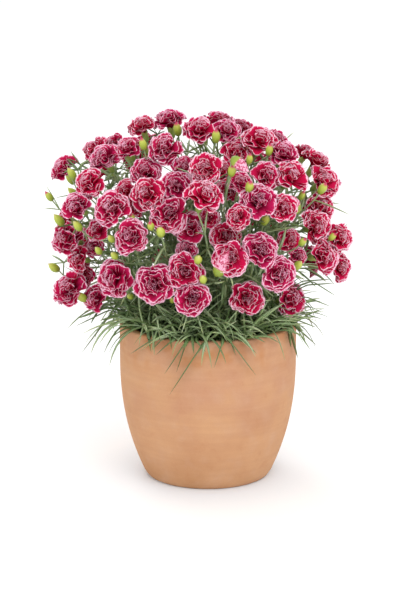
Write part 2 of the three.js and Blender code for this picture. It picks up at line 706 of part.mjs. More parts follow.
const sideOf = (ahead) => ahead.clone().cross(Math.abs(ahead.z) < 0.9 ? UP : vec(1, 0, 0)).normalize();

// Rings of a stem at shares of a curve's length, all begun on the same side. Backwards, with a sign
// of -1, they face the curve's start.
const STEM_SIDES = 3;
const SWELL_SIDES = 4; // of a calyx or bud
const stemRings = (curve, shares, radius, side, sign = 1) => shares.map((share) =>
  ring(curve.getPoint(share), curve.getTangent(share).multiplyScalar(sign), side, radius, STEM_SIDES));

// What grows from the side of a stem widens from a point on the stem's far side.
const rootTip = (curve) => [curve.getPoint(0).addScaledVector(curve.getTangent(0), -STEM_RADIUS)];

// The stem below a fork, from the fork down into the soil.
function stemLimb(shoot) {
  const { stem, root, knuckle } = shoot;
  const bends = stemBends(shoot).reverse();
  const side = sideOf(knuckle.faces[0].way);
  const below = ring(root.clone().setZ(SOIL_TOP - ROOT_DEPTH), vec(0, 0, -1), side, STEM_RADIUS, STEM_SIDES);
  return { face: knuckle.faces[0], rings: [...stemRings(stem, bends, STEM_RADIUS, side, -1), below] };
}

// A flowering branch from its fork, with the calyx at its end.
function branchLimb({ branch, face, facing, foot, mouth, radius }) {
  const side = sideOf(branch.getTangent(0.6));
  const wide = CALYX_RADIUS_SHARE * radius;
  const calyx = [
    ring(foot, facing, side, BRANCH_RADIUS, STEM_SIDES),
    ring(foot.clone().lerp(mouth, 0.35), facing, side, CALYX_SWELL * wide, SWELL_SIDES),
    ring(mouth, facing, side, wide, SWELL_SIDES),
  ];
  return { face, rings: [...stemRings(branch, BRANCH_BENDS, BRANCH_RADIUS, side), ...calyx] };
}

function budSolid({ stalk, foot, tip, radius }) {
  const side = sideOf(stalk.getTangent(0));
  const ahead = tip.clone().sub(foot).normalize();
  const stalkRings = stemRings(stalk, [rootShare(stalk), STALK_BEND, 1], STALK_RADIUS, side);
  const belly = ring(foot.clone().lerp(tip, 0.4), ahead, side, radius, SWELL_SIDES);
  return skin([rootTip(stalk), ...stalkRings, belly, [tip]]);
}

// Leaf sections are three-cornered, flat above with a keel below.
const section = (centre, ahead, across, width) => [
  centre.clone().addScaledVector(across, width / 2),
  centre.clone().addScaledVector(across, -width / 2),
  centre.clone().addScaledVector(ahead.clone().cross(across), -LEAF_KEEL),
];

function leafRings({ curve, turn, width }) {
  const across = UP.clone().cross(outward(turn, 0));
  const sections = leafSections(curve).map(([share, wide]) =>
    section(curve.getPoint(share), curve.getTangent(share), across, wide * width));
  return [...sections, [curve.getPoint(1)]];
}

// Two leaves as one blade, from tip to tip through the stem, or one leaf from the stem's far side.
function pairSolid({ root, leaves: [one, other] }) {
  const ahead = outward(one.turn, 0);
  const across = UP.clone().cross(ahead);
  const heart = section(root.clone().addScaledVector(UP, 0.5), ahead, across, one.width * 0.7);
  const near = leafRings(one);
  if (!other) return skin([[root.clone().addScaledVector(ahead, -STEM_RADIUS)], heart, ...near]);
  const mirrored = (corners) => (corners.length === 1 ? corners : [corners[1], corners[0], corners[2]]);
  return skin([...leafRings(other).reverse().map(mirrored), heart, ...near]);
}

function tuftSolid({ knuckle, stalk, leaves }) {
  const [under] = knuckle.faces;
  const bends = [TUFT_BEND, rootShare(stalk)];
  const rings = [...stemRings(stalk, bends, BRANCH_RADIUS, sideOf(under.way), -1), rootTip(stalk)];
  const blades = leaves.map((leaf) => ({ face: leaf.face, rings: leafRings(leaf) }));
  return knuckleSolid(knuckle, [{ face: under, rings }, ...blades]);
}

function shootSolid(shoot) {
  const { knuckle, blooms: flowers, buds, pairs: leaves, tufts } = shoot;
  const main = knuckleSolid(knuckle, [stemLimb(shoot), ...flowers.map(branchLimb)]);
  return join([main, ...buds.map(budSolid), ...leaves.map(pairSolid), ...tufts.map(tuftSolid)]);
}

// Tiers of petals as star-shaped rings, one on another, over the head's radius: how far the peaks and
// the notches between them reach, how high each lies above the calyx, and how many corners there are.
const HEAD_RINGS = [
  { peak: 0.18, notch: 0.18, peakHeight: 0, notchHeight: 0, corners: 3 },
  { peak: 1, notch: 0.84, peakHeight: 0.34, notchHeight: 0.44, corners: 10 },
  { peak: 0.66, notch: 0.66, peakHeight: 0.47, notchHeight: 0.47, corners: 5 },
  { peak: 0.78, notch: 0.54, peakHeight: 0.76, notchHeight: 0.68, corners: 8 },
  { peak: 0.34, notch: 0.34, peakHeight: 0.68, notchHeight: 0.68, corners: 4 },
];
const HEART_HEIGHT = 1;
const PEAK_CHANGE = 0.08; // by how much the peaks of one head differ
const REACH_IN = 0.3; // how near to the middle of a neighbour a petal reaches, over the neighbour's radius

function bloomSolid({ index, point, radius, facing, mouth, mate }) {
  const draw = drawsFrom(7000 + index);
  const across = sideOf(facing);
  const up = facing.clone().cross(across);
  const base = mouth.clone().addScaledVector(facing, FIT);
  const toMate = mate?.point.clone().sub(point);
  const phase = mate ? Math.atan2(toMate.dot(up), toMate.dot(across)) : Math.PI * draw();
  const rings = HEAD_RINGS.map(({ peak, notch, peakHeight, notchHeight, corners }) =>
    Array.from({ length: corners }, (_, i) => {
      const isPeak = i % 2 === 0;
      const reach = (isPeak ? peak * (1 - PEAK_CHANGE * draw()) : notch) * radius;
      const height = (isPeak ? peakHeight : notchHeight) * radius;
      const angle = phase + (2 * Math.PI * i) / corners;
      return at(base, across, up, reach, angle).addScaledVector(facing, height);
    }));
  if (mate) {
    const share = 1 - (REACH_IN * mate.radius) / toMate.length();
    rings[1][0] = point.clone().addScaledVector(toMate, share);
  }
  return skin([...rings, [base.clone().addScaledVector(facing, HEART_HEIGHT * radius)]]);
}

// Pot and soil

// The pot's wall swells from the foot to a straight upper part.
const WALL_TOP = 124; // height where the wall turns straight
const FOOT_RADIUS = 63;
const WALL_CURVE = 2.3; // 1 would be a cone
const wallRadius = (z) =>
  RIM_RADIUS - (RIM_RADIUS - FOOT_RADIUS) * Math.max(0, 1 - z / WALL_TOP) ** WALL_CURVE;
const OUTER_LEVELS = [2, 24, 60, WALL_TOP];
const INNER_LEVELS = [WALL_TOP, 62];
const RIM_ROUND = 2.5;
const DRAIN_SIDES = 8;
const ROOT_SIDES = 6; // of the hole that a stem stands in

function lathe(profile, sides) {
  const shape = new THREE.LatheGeometry(profile.map(([r, z]) => new THREE.Vector2(r, z)), sides);
  return solidOf(shape.rotateX(Math.PI / 2));
}

function upright(radius, height, sides, x, y, z) {
  const shape = new THREE.CylinderGeometry(radius, radius, height, sides).rotateX(Math.PI / 2);
  return solidOf(shape.translate(x, y, z + height / 2));
}

function potSolid() {
  const body = lathe([
    [0, 0], [BASE_RADIUS, 0],
    ...OUTER_LEVELS.map((z) => [wallRadius(z), z]),
    [RIM_RADIUS, POT_HEIGHT - RIM_ROUND], [RIM_RADIUS - RIM_ROUND, POT_HEIGHT],
    [RIM_RADIUS - POT_WALL, POT_HEIGHT],
    ...INNER_LEVELS.map((z) => [wallRadius(z) - POT_WALL, z]),
    [wallRadius(POT_FLOOR) - POT_WALL, POT_FLOOR], [0, POT_FLOOR],
  ], POT_SIDES);
  const holes = Array.from({ length: DRAIN_COUNT }, (_, i) => {
    const { x, y } = outward((2 * Math.PI * i) / DRAIN_COUNT + Math.PI / 2, 0).multiplyScalar(DRAIN_RING);
    return upright(DRAIN_RADIUS, POT_FLOOR + 2, DRAIN_SIDES, x, y, -1);
  });
  return body.subtract(wasm.Manifold.union(holes));
}

// The soil keeps off the pot's many-sided wall, and has a hole for each stem.
function soilSolid() {
  const room = (z) => (wallRadius(z) - POT_WALL) * Math.cos(Math.PI / POT_SIDES) - FIT;
  const body = lathe([
    [0, POT_FLOOR + FIT], [room(POT_FLOOR), POT_FLOOR + FIT],
    ...[...INNER_LEVELS].reverse().map((z) => [room(z), z]),
    [room(SOIL_TOP), SOIL_TOP], [0, SOIL_TOP + SOIL_CROWN],
  ], SOIL_SIDES);
  const depth = ROOT_DEPTH + FIT;
  const holes = shoots.map(({ root: { x, y } }) =>
    upright(STEM_RADIUS + ROOT_ROOM, 2 * depth, ROOT_SIDES, x, y, SOIL_TOP - depth));
  return body.subtract(wasm.Manifold.union(holes));
}

// The whole plant in its pot

const finish = (color, roughness) =>
  new THREE.MeshStandardMaterial({ color, roughness, metalness: 0, flatShading: true });
const TERRACOTTA = finish(0xd9a27f, 0.9);
const SOIL = finish(0x4a3a2c, 1);
const LEAF = finish(0x7d9179, 0.6);
const PETAL = finish(0xb0123f, 0.7);

const plant = new THREE.Group();
function addPiece(name, solid, material) {
  const piece = new THREE.Mesh(geometryOf(solid), material);
  piece.name = name;
  plant.add(piece);
}
const numbered = (name, i) => `${name}_${String(i + 1).padStart(2, "0")}`;

addPiece("pot", potSolid(), TERRACOTTA);
addPiece("soil", soilSolid(), SOIL);
shoots.forEach((shoot, i) => addPiece(numbered("shoot", i), shootSolid(shoot), LEAF));
const bunches = [...new Set(blooms.map((bloom) => bloom.bunch))];
bunches.forEach((bunch, i) => addPiece(numbered("blooms", i), join(bunch.map(bloomSolid)), PETAL));

export default plant;
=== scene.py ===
import json
import math
from itertools import combinations

import bmesh
import bpy
import numpy as np
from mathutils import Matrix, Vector

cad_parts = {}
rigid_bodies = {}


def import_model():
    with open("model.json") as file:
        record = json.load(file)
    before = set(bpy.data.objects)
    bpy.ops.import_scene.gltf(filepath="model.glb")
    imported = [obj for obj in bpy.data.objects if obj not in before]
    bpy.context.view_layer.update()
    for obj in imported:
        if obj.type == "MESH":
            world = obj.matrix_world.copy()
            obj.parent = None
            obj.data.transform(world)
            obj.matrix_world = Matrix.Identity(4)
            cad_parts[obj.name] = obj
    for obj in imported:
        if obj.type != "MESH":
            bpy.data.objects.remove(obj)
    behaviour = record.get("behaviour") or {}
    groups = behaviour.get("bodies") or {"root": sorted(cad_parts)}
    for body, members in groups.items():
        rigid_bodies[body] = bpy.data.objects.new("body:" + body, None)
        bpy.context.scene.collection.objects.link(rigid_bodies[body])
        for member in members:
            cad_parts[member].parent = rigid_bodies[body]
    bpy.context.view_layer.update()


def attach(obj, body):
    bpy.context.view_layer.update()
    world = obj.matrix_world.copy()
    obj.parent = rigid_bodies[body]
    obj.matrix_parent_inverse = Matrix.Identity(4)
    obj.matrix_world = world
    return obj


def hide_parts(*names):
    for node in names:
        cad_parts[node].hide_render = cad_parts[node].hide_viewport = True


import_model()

# The pot, the soil and the plant's parts, in millimetres, or in shares of a head's radius or a bud's length

POT_HEIGHT = 160
RIM_RADIUS = 89.5
BASE_RADIUS = 61
POT_WALL = 8
POT_FLOOR = 10
BEAD_STEP = 2
BEADS_NEAR = 10
NUDGE = 1e-4
LENGTH_SPANS = 200
FIT = 0.3
CLEAR = 0.9
SOIL_TOP = 144
SOIL_CROWN = 5
STEM_RADIUS = 1.6
BRANCH_RADIUS = 0.9
STALK_RADIUS = 0.7
KNUCKLE_RADIUS = 2.6
CALYX_SHARE = 0.72
CALYX_RADIUS_SHARE = 0.175
CALYX_SWELL = 1.3
MOUTH_SHARE = 0.45
HEAD_DEPTH = 0.56
HEAD_SWELL = 1.05
BUD_LENGTH = 13
BUD_RADIUS = 3.4
BUD_SCALES = (0.8, 0.35)
LEAF_WIDTH = 3.4

# The place that the photo was taken from, the dome of flowers, and how heads face and press together

VIEWPOINT = np.array([-8.0, -2300, 750])
SIGHT_UP = np.array([0, 0.24, 0.97])
RIM_CENTRE = np.array([0.0, 0, POT_HEIGHT])
DOME_CENTRE = np.array([-5.0, 6, 268])
DOME_AXES = np.array([146.0, 122, 99])
BACK_PLACES = 420
BUD_SKIP = 17
BACK_SPACING = 1.33
BACK_RADIUS = 13.5
BACK_RADIUS_CHANGE = 5
BACK_LOWEST = 182
BACK_SINK = 0.05
BACK_BUD_LOWEST = 200
BACK_BUD_NEAREST = 10
BUD_STAND_OUT = 0.04
LIGHT = np.array([0, -0.97, 0.24])
TURN_TO_LIGHT = 0.75
CROWN_UNLIT = 0.7
SKIRT_HEIGHT = 180
DOME_TOP = 365
SKIRT_TILT = math.radians(9)
CROWN_TILT = math.radians(75)
TILT_CHANGE = math.radians(16)
TURN_CHANGE = math.radians(20)
NEAR = 3
CLOSEST_HEADS = 1
PRESSED_HEADS = 0.82
LEVEL_SHARE = 0.6
LIKE_FACING = 0.75
LEVELLING = 8
PRESS_STEP = 0.5
FORWARD_STEP, BACKWARD_STEP = 0.1, 0.8
GIVING_WAY = 4
HOMING = 0.2
BUNCHES = 43
BUNCH_MOST = 4
CALYX_START = 0.1
CALYX_REACH = 1.9
FREE_ROUNDS = 30
PRESSING_ROUNDS = 80
GOLDEN_TURN = math.pi * (3 - math.sqrt(5))

# Shoots in tiers of tilt, count, first turn and ring, their branches and their buds

TIERS = [(90, 1, 0, 6), (62, 5, 54, 26), (30, 9, 10, 52)]
CROWN = np.array([0.0, 0, 165])
HUB_SHARE = 0.5
MOST_BLOOMS = 9
STEM_RISE = 38
STEM_SPLAY = 4
STEM_RUN_IN = 24
OUTER_BENDS = [0.02, 0.2, 0.4, 0.7]
INNER_BENDS = [0.02, 0.35, 0.68]
TRIES = 80
SWAY = 1.2
SWING = 0.012
FREE_BEADS = 4
BRANCH_BENDS = [0.35, 0.7]
BRANCH_RUN_OUT, BRANCH_RUN_IN = 0.25, 0.35
BUD_DEPTHS = [6, 0, 12, -6, 18, 24, -12, 30]
BUD_LIFT = 0.5
BUD_TRIES = 12
ROOT_LENGTH = 4
STALK_BEND = 0.5
STALK_RUN_OUT, STALK_RUN_IN = 0.2, 0.4

# Leaves: in pairs up the stems, and in tufts at the rim

LONG = 50
LONG_BENDS, SHORT_BENDS = [0.35, 0.7], [0.5]
LEAF_FREE_BEADS = 5
TURNS = [math.radians(turn) for turn in (0, 9, -9, 18, -18)]
LIFTS = [math.radians(lift) for lift in (0, 12, -10, 24)]
INNER_PAIRS = [(0.35, 60), (0.68, 46)]
OUTER_PAIRS = [(0.08, 78), (0.2, 68), (0.4, 56), (0.7, 44)]
PAIR_TURN_CHANGE = 0.6
PAIR_WIDTHS = (0.85, 0.3)
PAIR_LENGTHS = (0.85, 0.3)
PAIR_RISE = (38, 20)
PAIR_FALL = (-25, 40)
TUFT_SWINGS = [math.radians(swing) for swing in (-13, 11)]
TUFT_RING = 73
TUFT_HEIGHT = 157
TUFT_START = 0.04
TUFT_BEND = 0.6
TUFT_LEAVES = 7
TUFT_RING_CHANGE = 3
TUFT_HEIGHT_CHANGE = 11
TUFT_DROP = 12
TUFT_RUN_IN = 8
TUFT_FLATTEST, TUFT_STEEPEST = math.radians(8), math.radians(58)
TUFT_LOOK = 0.3
TUFT_TURN_CHANGE = 0.2
TUFT_WIDTHS = (0.9, 0.25)
TUFT_FALL = (-48, -30)
TUFT_LENGTHS = (50, 34)

# Flowers seen from the front: across and up from the rim's middle, width, and depth behind the dome

FRONT_BLOOMS = [
    (-146, 153, 31, 0), (-116, 173, 30, 24), (-104, 166, 33, 0), (-81, 173, 28, 8),
    (-95, 178, 24, 36), (-67, 197, 30, 10), (-120, 137, 33, 0), (-134, 112, 32, 6),
    (-98, 115, 36, 0), (-62, 148, 31, 24), (-63, 127, 35, 0), (-70, 113, 24, 28),
    (-42, 176, 37, 0), (-37, 202, 33, 20), (-10, 192, 34, 4), (19, 194, 30, 8),
    (51, 183, 35, 0), (69, 183, 24, 28), (77, 168, 32, 6), (84, 144, 35, 0),
    (117, 140, 34, 0), (112, 115, 31, 18), (30, 167, 30, 14), (58, 146, 28, 14),
    (32, 140, 24, 8), (21, 131, 24, 24), (-2, 154, 32, 6), (15, 152, 25, 26),
    (-24, 153, 26, 26), (-32, 136, 32, 18), (-4, 124, 37, 0), (-39, 106, 38, 0),
    (-18, 95, 33, 14), (-1, 104, 22, 42), (30, 103, 26, 0), (52, 119, 37, 6),
    (76, 113, 29, 20), (109, 95, 34, 6), (135, 84, 31, 0), (114, 63, 37, 0),
    (133, 53, 29, 14), (54, 71, 36, 0), (72, 46, 35, 0), (83, 21, 35, 0),
    (39, 21, 35, 0), (19, 83, 31, 24), (21, 62, 35, 0), (-22, 68, 21, 24),
    (-22, 49, 37, 6), (-14, 21, 34, 0), (-56, 36, 39, 0), (-97, 42, 38, 0),
    (-77, 82, 35, 0), (-110, 91, 25, 22), (-143, 81, 37, 4), (-131, 63, 27, 8),
    (-117, 74, 24, 34), (-140, 32, 37, 0), (-125, 44, 26, 26), (-114, 21, 29, 14),
    (82, 81, 24, 34), (90, 64, 20, 34), (-86, 131, 24, 30),
]

# Buds seen from the front: across and up

FRONT_BUDS = [
    (-161, 125), (-138, 148), (-151, 101), (-132, 95), (-98, 82), (-111, 70),
    (-95, 65), (-156, 53), (-128, 23), (-79, 24), (-77, 103), (-58, 95), (-48, 89), (-32, 32),
    (-36, 20), (-10, 61), (-5, 41), (9, 47), (-31, 193), (-66, 178), (8, 186), (42, 163),
    (24, 151), (42, 135), (62, 172), (95, 126), (116, 133), (90, 112), (58, 101), (96, 79),
    (91, 55), (126, 84),
]

# Where each row of draws starts

BACK_BLOOM_SEED = 100
FRONT_BLOOM_SEED = 1000
BRANCH_SEED = 2000
FRONT_BUD_SEED = 3000
BACK_BUD_SEED = 4000
LEAF_PAIR_SEED = 5000
RIM_TUFT_SEED = 6000
PETAL_SEED = 7000
SHOOT_SEED = 8000
SOIL_SEED = 9000
TINT_SEED = 9100
SIDE_SHOOT_SEED = 9500
MISSED_BUD_SEED = 9600
TWIG_LEAF_SEED = 9700
TWIG_TUFT_SEED = 9750
HALF_OPEN_SEED = 9780
FRONT_LEAF_SEED = 9800
SEED_FACTOR, SEED_SHIFT = 7919, 12345
DRAW_FACTOR, DRAW_LIMIT = 16807, 2147483647


# Vectors, draws and curves

def vec(x, y, z):
    return np.array([x, y, z], dtype=float)


def size(v):
    return math.sqrt(v @ v)


def unit(v):
    return v * (1 / (size(v) or 1))


UP = vec(0, 0, 1)


class Thing:
    """A bloom, bud, leaf, tuft or shoot, with its facts by name."""

    def __init__(self, **facts):
        self.__dict__.update(facts)


def draws_from(seed):
    """Repeatable draws: the same seed always gives the same row of numbers from 0 to 1."""
    state = (seed * SEED_FACTOR + SEED_SHIFT) % DRAW_LIMIT

    def draw():
        nonlocal state
        state = state * DRAW_FACTOR % DRAW_LIMIT
        return state / DRAW_LIMIT

    draw()
    draw()
    return draw


def drawn(draw, span):
    """A number from a span, which is given as its start and how far it goes on from there."""
    start, change = span
    return start + change * draw()


def outward(turn, tilt=0.0):
    return vec(math.cos(tilt) * math.cos(turn), math.cos(tilt) * math.sin(turn), math.sin(tilt))


def nearest(items, distance):
    return min(items, key=distance)


def bezier(*corners):
    """A curve of two, three or four corners."""
    order = len(corners) - 1

    def at(t):
        return sum(math.comb(order, i) * (1 - t) ** (order - i) * t**i * c for i, c in enumerate(corners))

    return at


def way_along(curve, t):
    return unit(curve(min(t + NUDGE, 1)) - curve(max(t - NUDGE, 0)))


def length_of(curve):
    spots = [curve(i / LENGTH_SPANS) for i in range(LENGTH_SPANS + 1)]
    return sum(size(b - a) for a, b in zip(spots, spots[1:]))


def beads_along(curve, bends):
    """Points along a limb that runs straight between bends, which lie at shares of its curve."""
    corners = [curve(share) for share in (0, *bends, 1)]
    beads = []
    for a, b in zip(corners, corners[1:]):
        spans = math.ceil(size(b - a) / BEAD_STEP)
        beads += [a + (b - a) * (k / spans) for k in range(spans)]
    return np.array([*beads, corners[-1]])


# Where the flowers stand

def on_dome(across, up):
    """The point in line with a place seen from the front, on the dome's face or as near as it comes."""
    line = RIM_CENTRE + vec(across, 0, 0) + SIGHT_UP * up - VIEWPOINT
    start = (VIEWPOINT - DOME_CENTRE) / DOME_AXES
    along = line / DOME_AXES
    a, b, c = along @ along, start @ along, start @ start - 1
    share = (-b - math.sqrt(max(0, b * b - a * c))) / a
    return unit(line), VIEWPOINT + line * share


def facing_at(point, draw, lit):
    """Heads face outwards, level at the skirt and nearly upright on the crown, and the front to the light."""
    height = min(max((point[2] - SKIRT_HEIGHT) / (DOME_TOP - SKIRT_HEIGHT), 0), 1)
    tilt = SKIRT_TILT + (CROWN_TILT - SKIRT_TILT) * height * height + TILT_CHANGE * (draw() - 0.5)
    turn = math.atan2(point[1] - DOME_CENTRE[1], point[0] - DOME_CENTRE[0]) + TURN_CHANGE * (draw() - 0.5)
    facing = outward(turn, tilt)
    return unit(facing + LIGHT * (TURN_TO_LIGHT * (1 - CROWN_UNLIT * height))) if lit else facing


def lie(a, b):
    """How two heads lie: across the way they face, along it, and how near they are."""
    apart = b.point - a.point
    facing = unit(a.facing + b.facing)
    along = float(apart @ facing)
    aside = apart - facing * along
    across = size(aside)
    nearness = math.hypot(across, along / HEAD_DEPTH) / (a.radius + b.radius)
    return Thing(across=across, along=along, nearness=nearness, facing=facing, aside=unit(aside))


def bring(a, b, way, share):
    """Moves two heads towards each other along a way from the first to the second, or apart."""
    a.point = a.point + way * share
    b.point = b.point - way * share


def press(a, b):
    """Presses two heads together side by side."""
    how = lie(a, b)
    bring(a, b, how.facing, how.along / LEVELLING)
    if how.across > PRESSED_HEADS * (a.radius + b.radius):
        bring(a, b, how.aside, PRESS_STEP)


def spread(a, b):
    """Of two heads that are too near, the one behind moves back along its line of sight."""
    front, back = (a, b) if a.inset <= b.inset else (b, a)
    away = unit(back.point - front.point)
    front.point = front.point - (away if front.ray is None else front.ray) * FORWARD_STEP
    back.point = back.point + (away if back.ray is None else back.ray) * BACKWARD_STEP


def keep_off_calyx(a, b):
    """A head that lies behind another keeps off its calyx, and moves aside."""
    apart = b.point - a.point
    behind = -float(apart @ a.facing)
    if behind < -CALYX_START * a.radius or behind > CALYX_REACH * a.radius:
        return
    aside = apart + a.facing * behind
    calyx = CALYX_SWELL * CALYX_RADIUS_SHARE * a.radius
    missing = HEAD_SWELL * b.radius + calyx + CLEAR - size(aside)
    if missing > 0:
        bring(a, b, unit(aside), -missing / GIVING_WAY)


def home_in(bloom):
    """A head of the front drifts back to its line of sight."""
    if bloom.ray is not None:
        off = bloom.point - VIEWPOINT
        off = off + bloom.ray * -float(off @ bloom.ray)
        bloom.point = bloom.point + off * -HOMING


def near_pairs(blooms):
    """The pairs of heads that are near enough to matter to each other."""
    for a, b in combinations(blooms, 2):
        if size(b.point - a.point) < NEAR * (a.radius + b.radius):
            yield a, b


def back_point(k, swell):
    level = 1 - 2 * (k + 0.5) / BACK_PLACES
    ring = math.sqrt(1 - level * level)
    turn = k * GOLDEN_TURN
    return vec(ring * math.cos(turn), ring * math.sin(turn), level) * DOME_AXES * swell + DOME_CENTRE


def front_blooms():
    blooms = []
    for i, (across, up, width, inset) in enumerate(FRONT_BLOOMS):
        ray, point = on_dome(across, up)
        facing = facing_at(point, draws_from(FRONT_BLOOM_SEED + i), True)
        blooms.append(Thing(point=point + ray * inset, ray=ray, radius=width / 2, inset=inset, facing=facing))
    for _ in range(FREE_ROUNDS):
        for a, b in near_pairs(blooms):
            if lie(a, b).nearness < CLOSEST_HEADS:
                spread(a, b)
    return blooms


def add_back_blooms(blooms):
    for k in range(BACK_PLACES):
        draw = draws_from(BACK_BLOOM_SEED + k)
        radius = BACK_RADIUS + BACK_RADIUS_CHANGE * draw()
        point = back_point(k, 1 - BACK_SINK * draw())
        open_place = point[2] > BACK_LOWEST and point[1] > 0
        if open_place and all(size(b.point - point) > (b.radius + radius) * BACK_SPACING for b in blooms):
            facing = facing_at(point, draw, False)
            blooms.append(Thing(point=point, ray=None, radius=radius, inset=0, facing=facing))


def bunch_up(blooms):
    """Neighbouring heads press together in small bunches, the nearest first."""
    for bloom in blooms:
        bloom.bunch = [bloom]
    side_by_side = [(lie(a, b), a, b) for a, b in combinations(blooms, 2)]
    side_by_side = [(how, a, b) for how, a, b in side_by_side
                    if abs(how.along) < LEVEL_SHARE * how.across and a.facing @ b.facing > LIKE_FACING]
    touching = []
    for _, a, b in sorted(side_by_side, key=lambda each: each[0].nearness):
        together = [*a.bunch, *b.bunch]
        full = len(blooms) - len(touching) == BUNCHES
        if full or a.bunch is b.bunch or len(together) > BUNCH_MOST:
            continue
        for bloom in together:
            bloom.bunch = together
        touching.append((a, b))
    for _ in range(PRESSING_ROUNDS):
        for a, b in touching:
            press(a, b)
        for a, b in near_pairs(blooms):
            nearness = lie(a, b).nearness
            if a.bunch is not b.bunch and nearness < CLOSEST_HEADS:
                spread(a, b)
            if nearness < NEAR:
                keep_off_calyx(a, b)
                keep_off_calyx(b, a)
        for bloom in blooms:
            home_in(bloom)


def turn_head(bloom, facing):
    """A head turns about its own middle, and its calyx turns with it."""
    bloom.facing = facing
    bloom.mouth = bloom.point - facing * (MOUTH_SHARE * bloom.radius)
    bloom.foot = bloom.mouth - facing * (CALYX_SHARE * bloom.radius)


# What already takes up room

class Room:
    """Stems, calyxes, buds and leaves as beads, beside the heads and the pot."""

    def __init__(self, blooms):
        self.blooms = blooms
        self.beads = np.empty((0, 3))
        self.radii = np.empty(0)

    def take(self, points, radius):
        self.beads = np.vstack([self.beads, points])
        self.radii = np.append(self.radii, np.full(len(points), radius))

    def meets_bead(self, points, radius):
        low, high = points.min(0) - BEADS_NEAR, points.max(0) + BEADS_NEAR
        near = np.all((self.beads > low) & (self.beads < high), axis=1)
        away = np.linalg.norm(self.beads[near][None] - points[:, None], axis=2)
        return bool((away < self.radii[near] + radius + CLEAR).any())

    def meets_bloom(self, points, radius, own):
        others = [bloom for bloom in self.blooms if bloom is not own]
        radii = HEAD_SWELL * np.array([bloom.radius for bloom in others])
        away = points[:, None] - np.array([bloom.point for bloom in others])
        axial = np.einsum("ijk,jk->ij", away, np.array([bloom.facing for bloom in others]))
        lateral = np.sqrt(np.maximum(0, (away**2).sum(2) - axial**2))
        reach, depth = radii + radius + FIT, HEAD_DEPTH * radii + radius + FIT
        return bool(((lateral / reach) ** 2 + (axial / depth) ** 2 < 1).any())

    def is_clear(self, points, radius, own=None):
        if meets_pot(points, radius) or self.meets_bloom(points, radius, own):
            return False
        return not self.meets_bead(points, radius)


def soil_level(ring):
    return SOIL_TOP + SOIL_CROWN * (1 - (ring / RIM_RADIUS) ** 2)


def meets_pot(points, radius):
    ring = np.hypot(points[:, 0], points[:, 1])
    room = radius + CLEAR
    in_reach = (ring > RIM_RADIUS - POT_WALL - room) & (ring < RIM_RADIUS + room)
    in_wall = in_reach & (points[:, 2] < POT_HEIGHT + room)
    in_soil = (ring < RIM_RADIUS) & (points[:, 2] < soil_level(ring) + room)
    return bool((in_wall | in_soil).any())


# Knuckles: where a stem forks, or leaves come from

def icosahedron():
    """The way that each face of an icosahedron looks from its middle, at a radius of 1."""
    t = (1 + math.sqrt(5)) / 2
    corners = np.array([[-1, t, 0], [1, t, 0], [-1, -t, 0], [1, -t, 0], [0, -1, t], [0, 1, t],
                        [0, -1, -t], [0, 1, -t], [t, 0, -1], [t, 0, 1], [-t, 0, -1], [-t, 0, 1]])
    corners = corners / math.hypot(1, t)
    faces = [(0, 11, 5), (0, 5, 1), (0, 1, 7), (0, 7, 10), (0, 10, 11), (1, 5, 9), (5, 11, 4),
             (11, 10, 2), (10, 7, 6), (7, 1, 8), (3, 9, 4), (3, 4, 2), (3, 2, 6), (3, 6, 8), (3, 8, 9),
             (4, 9, 5), (2, 4, 11), (6, 2, 10), (8, 6, 7), (9, 8, 1)]
    return [corners[list(face)].mean(0) for face in faces]


def turn_between(a, b):
    """The matrix of the least turn from one way to another."""
    cross = np.cross(a, b)
    k = np.array([[0, -cross[2], cross[1]], [cross[2], 0, -cross[0]], [-cross[1], cross[0], 0]])
    return np.eye(3) + k + k @ k / (1 + a @ b)


def make_knuckle(centre, back):
    """Its first face looks back along the stem, and each limb takes the free face that looks most its way."""
    looks = icosahedron()
    turn = turn_between(unit(looks[0]), back)
    faces = [Thing(middle=centre + KNUCKLE_RADIUS * (turn @ look), way=unit(turn @ look), free=i > 0)
             for i, look in enumerate(looks)]
    return Thing(centre=centre, faces=faces)


def free_face(knuckle, way):
    return nearest([face for face in knuckle.faces if face.free], lambda face: -(face.way @ way))


# Shoots, branches and buds

def is_outer(shoot):
    return shoot.aim[2] < math.sqrt(0.5)


def plan_shoots(blooms, room):
    shoots = []
    for tilt, count, first, ring in TIERS:
        for i in range(count):
            turn = math.radians(first + 360 * i / count)
            root = outward(turn) * ring
            root[2] = SOIL_TOP
            aim = outward(turn, math.radians(tilt))
            shoots.append(Thing(turn=turn, root=root, aim=aim, blooms=[], buds=[], leaves=[], tufts=[]))
    choices = [(float(shoot.aim @ unit(bloom.mouth - CROWN)), bloom, shoot)
               for bloom in blooms for shoot in shoots]
    placed = set()
    for _, bloom, shoot in sorted(choices, key=lambda each: -each[0]):
        if bloom not in placed and len(shoot.blooms) < MOST_BLOOMS:
            shoot.blooms.append(bloom)
            placed.add(bloom)
    for shoot in shoots:
        mean = sum(bloom.mouth for bloom in shoot.blooms) / len(shoot.blooms)
        hub = CROWN + (mean - CROWN) * HUB_SHARE
        last = unit(mean - hub)
        shoot.knuckle = make_knuckle(hub, -last)
        end = shoot.knuckle.faces[0].middle
        first = shoot.root + UP * STEM_RISE + outward(shoot.turn) * STEM_SPLAY
        shoot.stem = bezier(shoot.root, first, end - last * STEM_RUN_IN, end)
        bends = OUTER_BENDS if is_outer(shoot) else INNER_BENDS
        room.take(beads_along(shoot.stem, bends)[:-2], STEM_RADIUS)
    return shoots


def calyx_beads(bloom):
    return beads_along(bezier(bloom.foot, bloom.mouth), [])


def jolter(draw):
    return lambda reach: vec(draw() - 0.5, draw() - 0.5, draw() - 0.5) * (2 * reach)


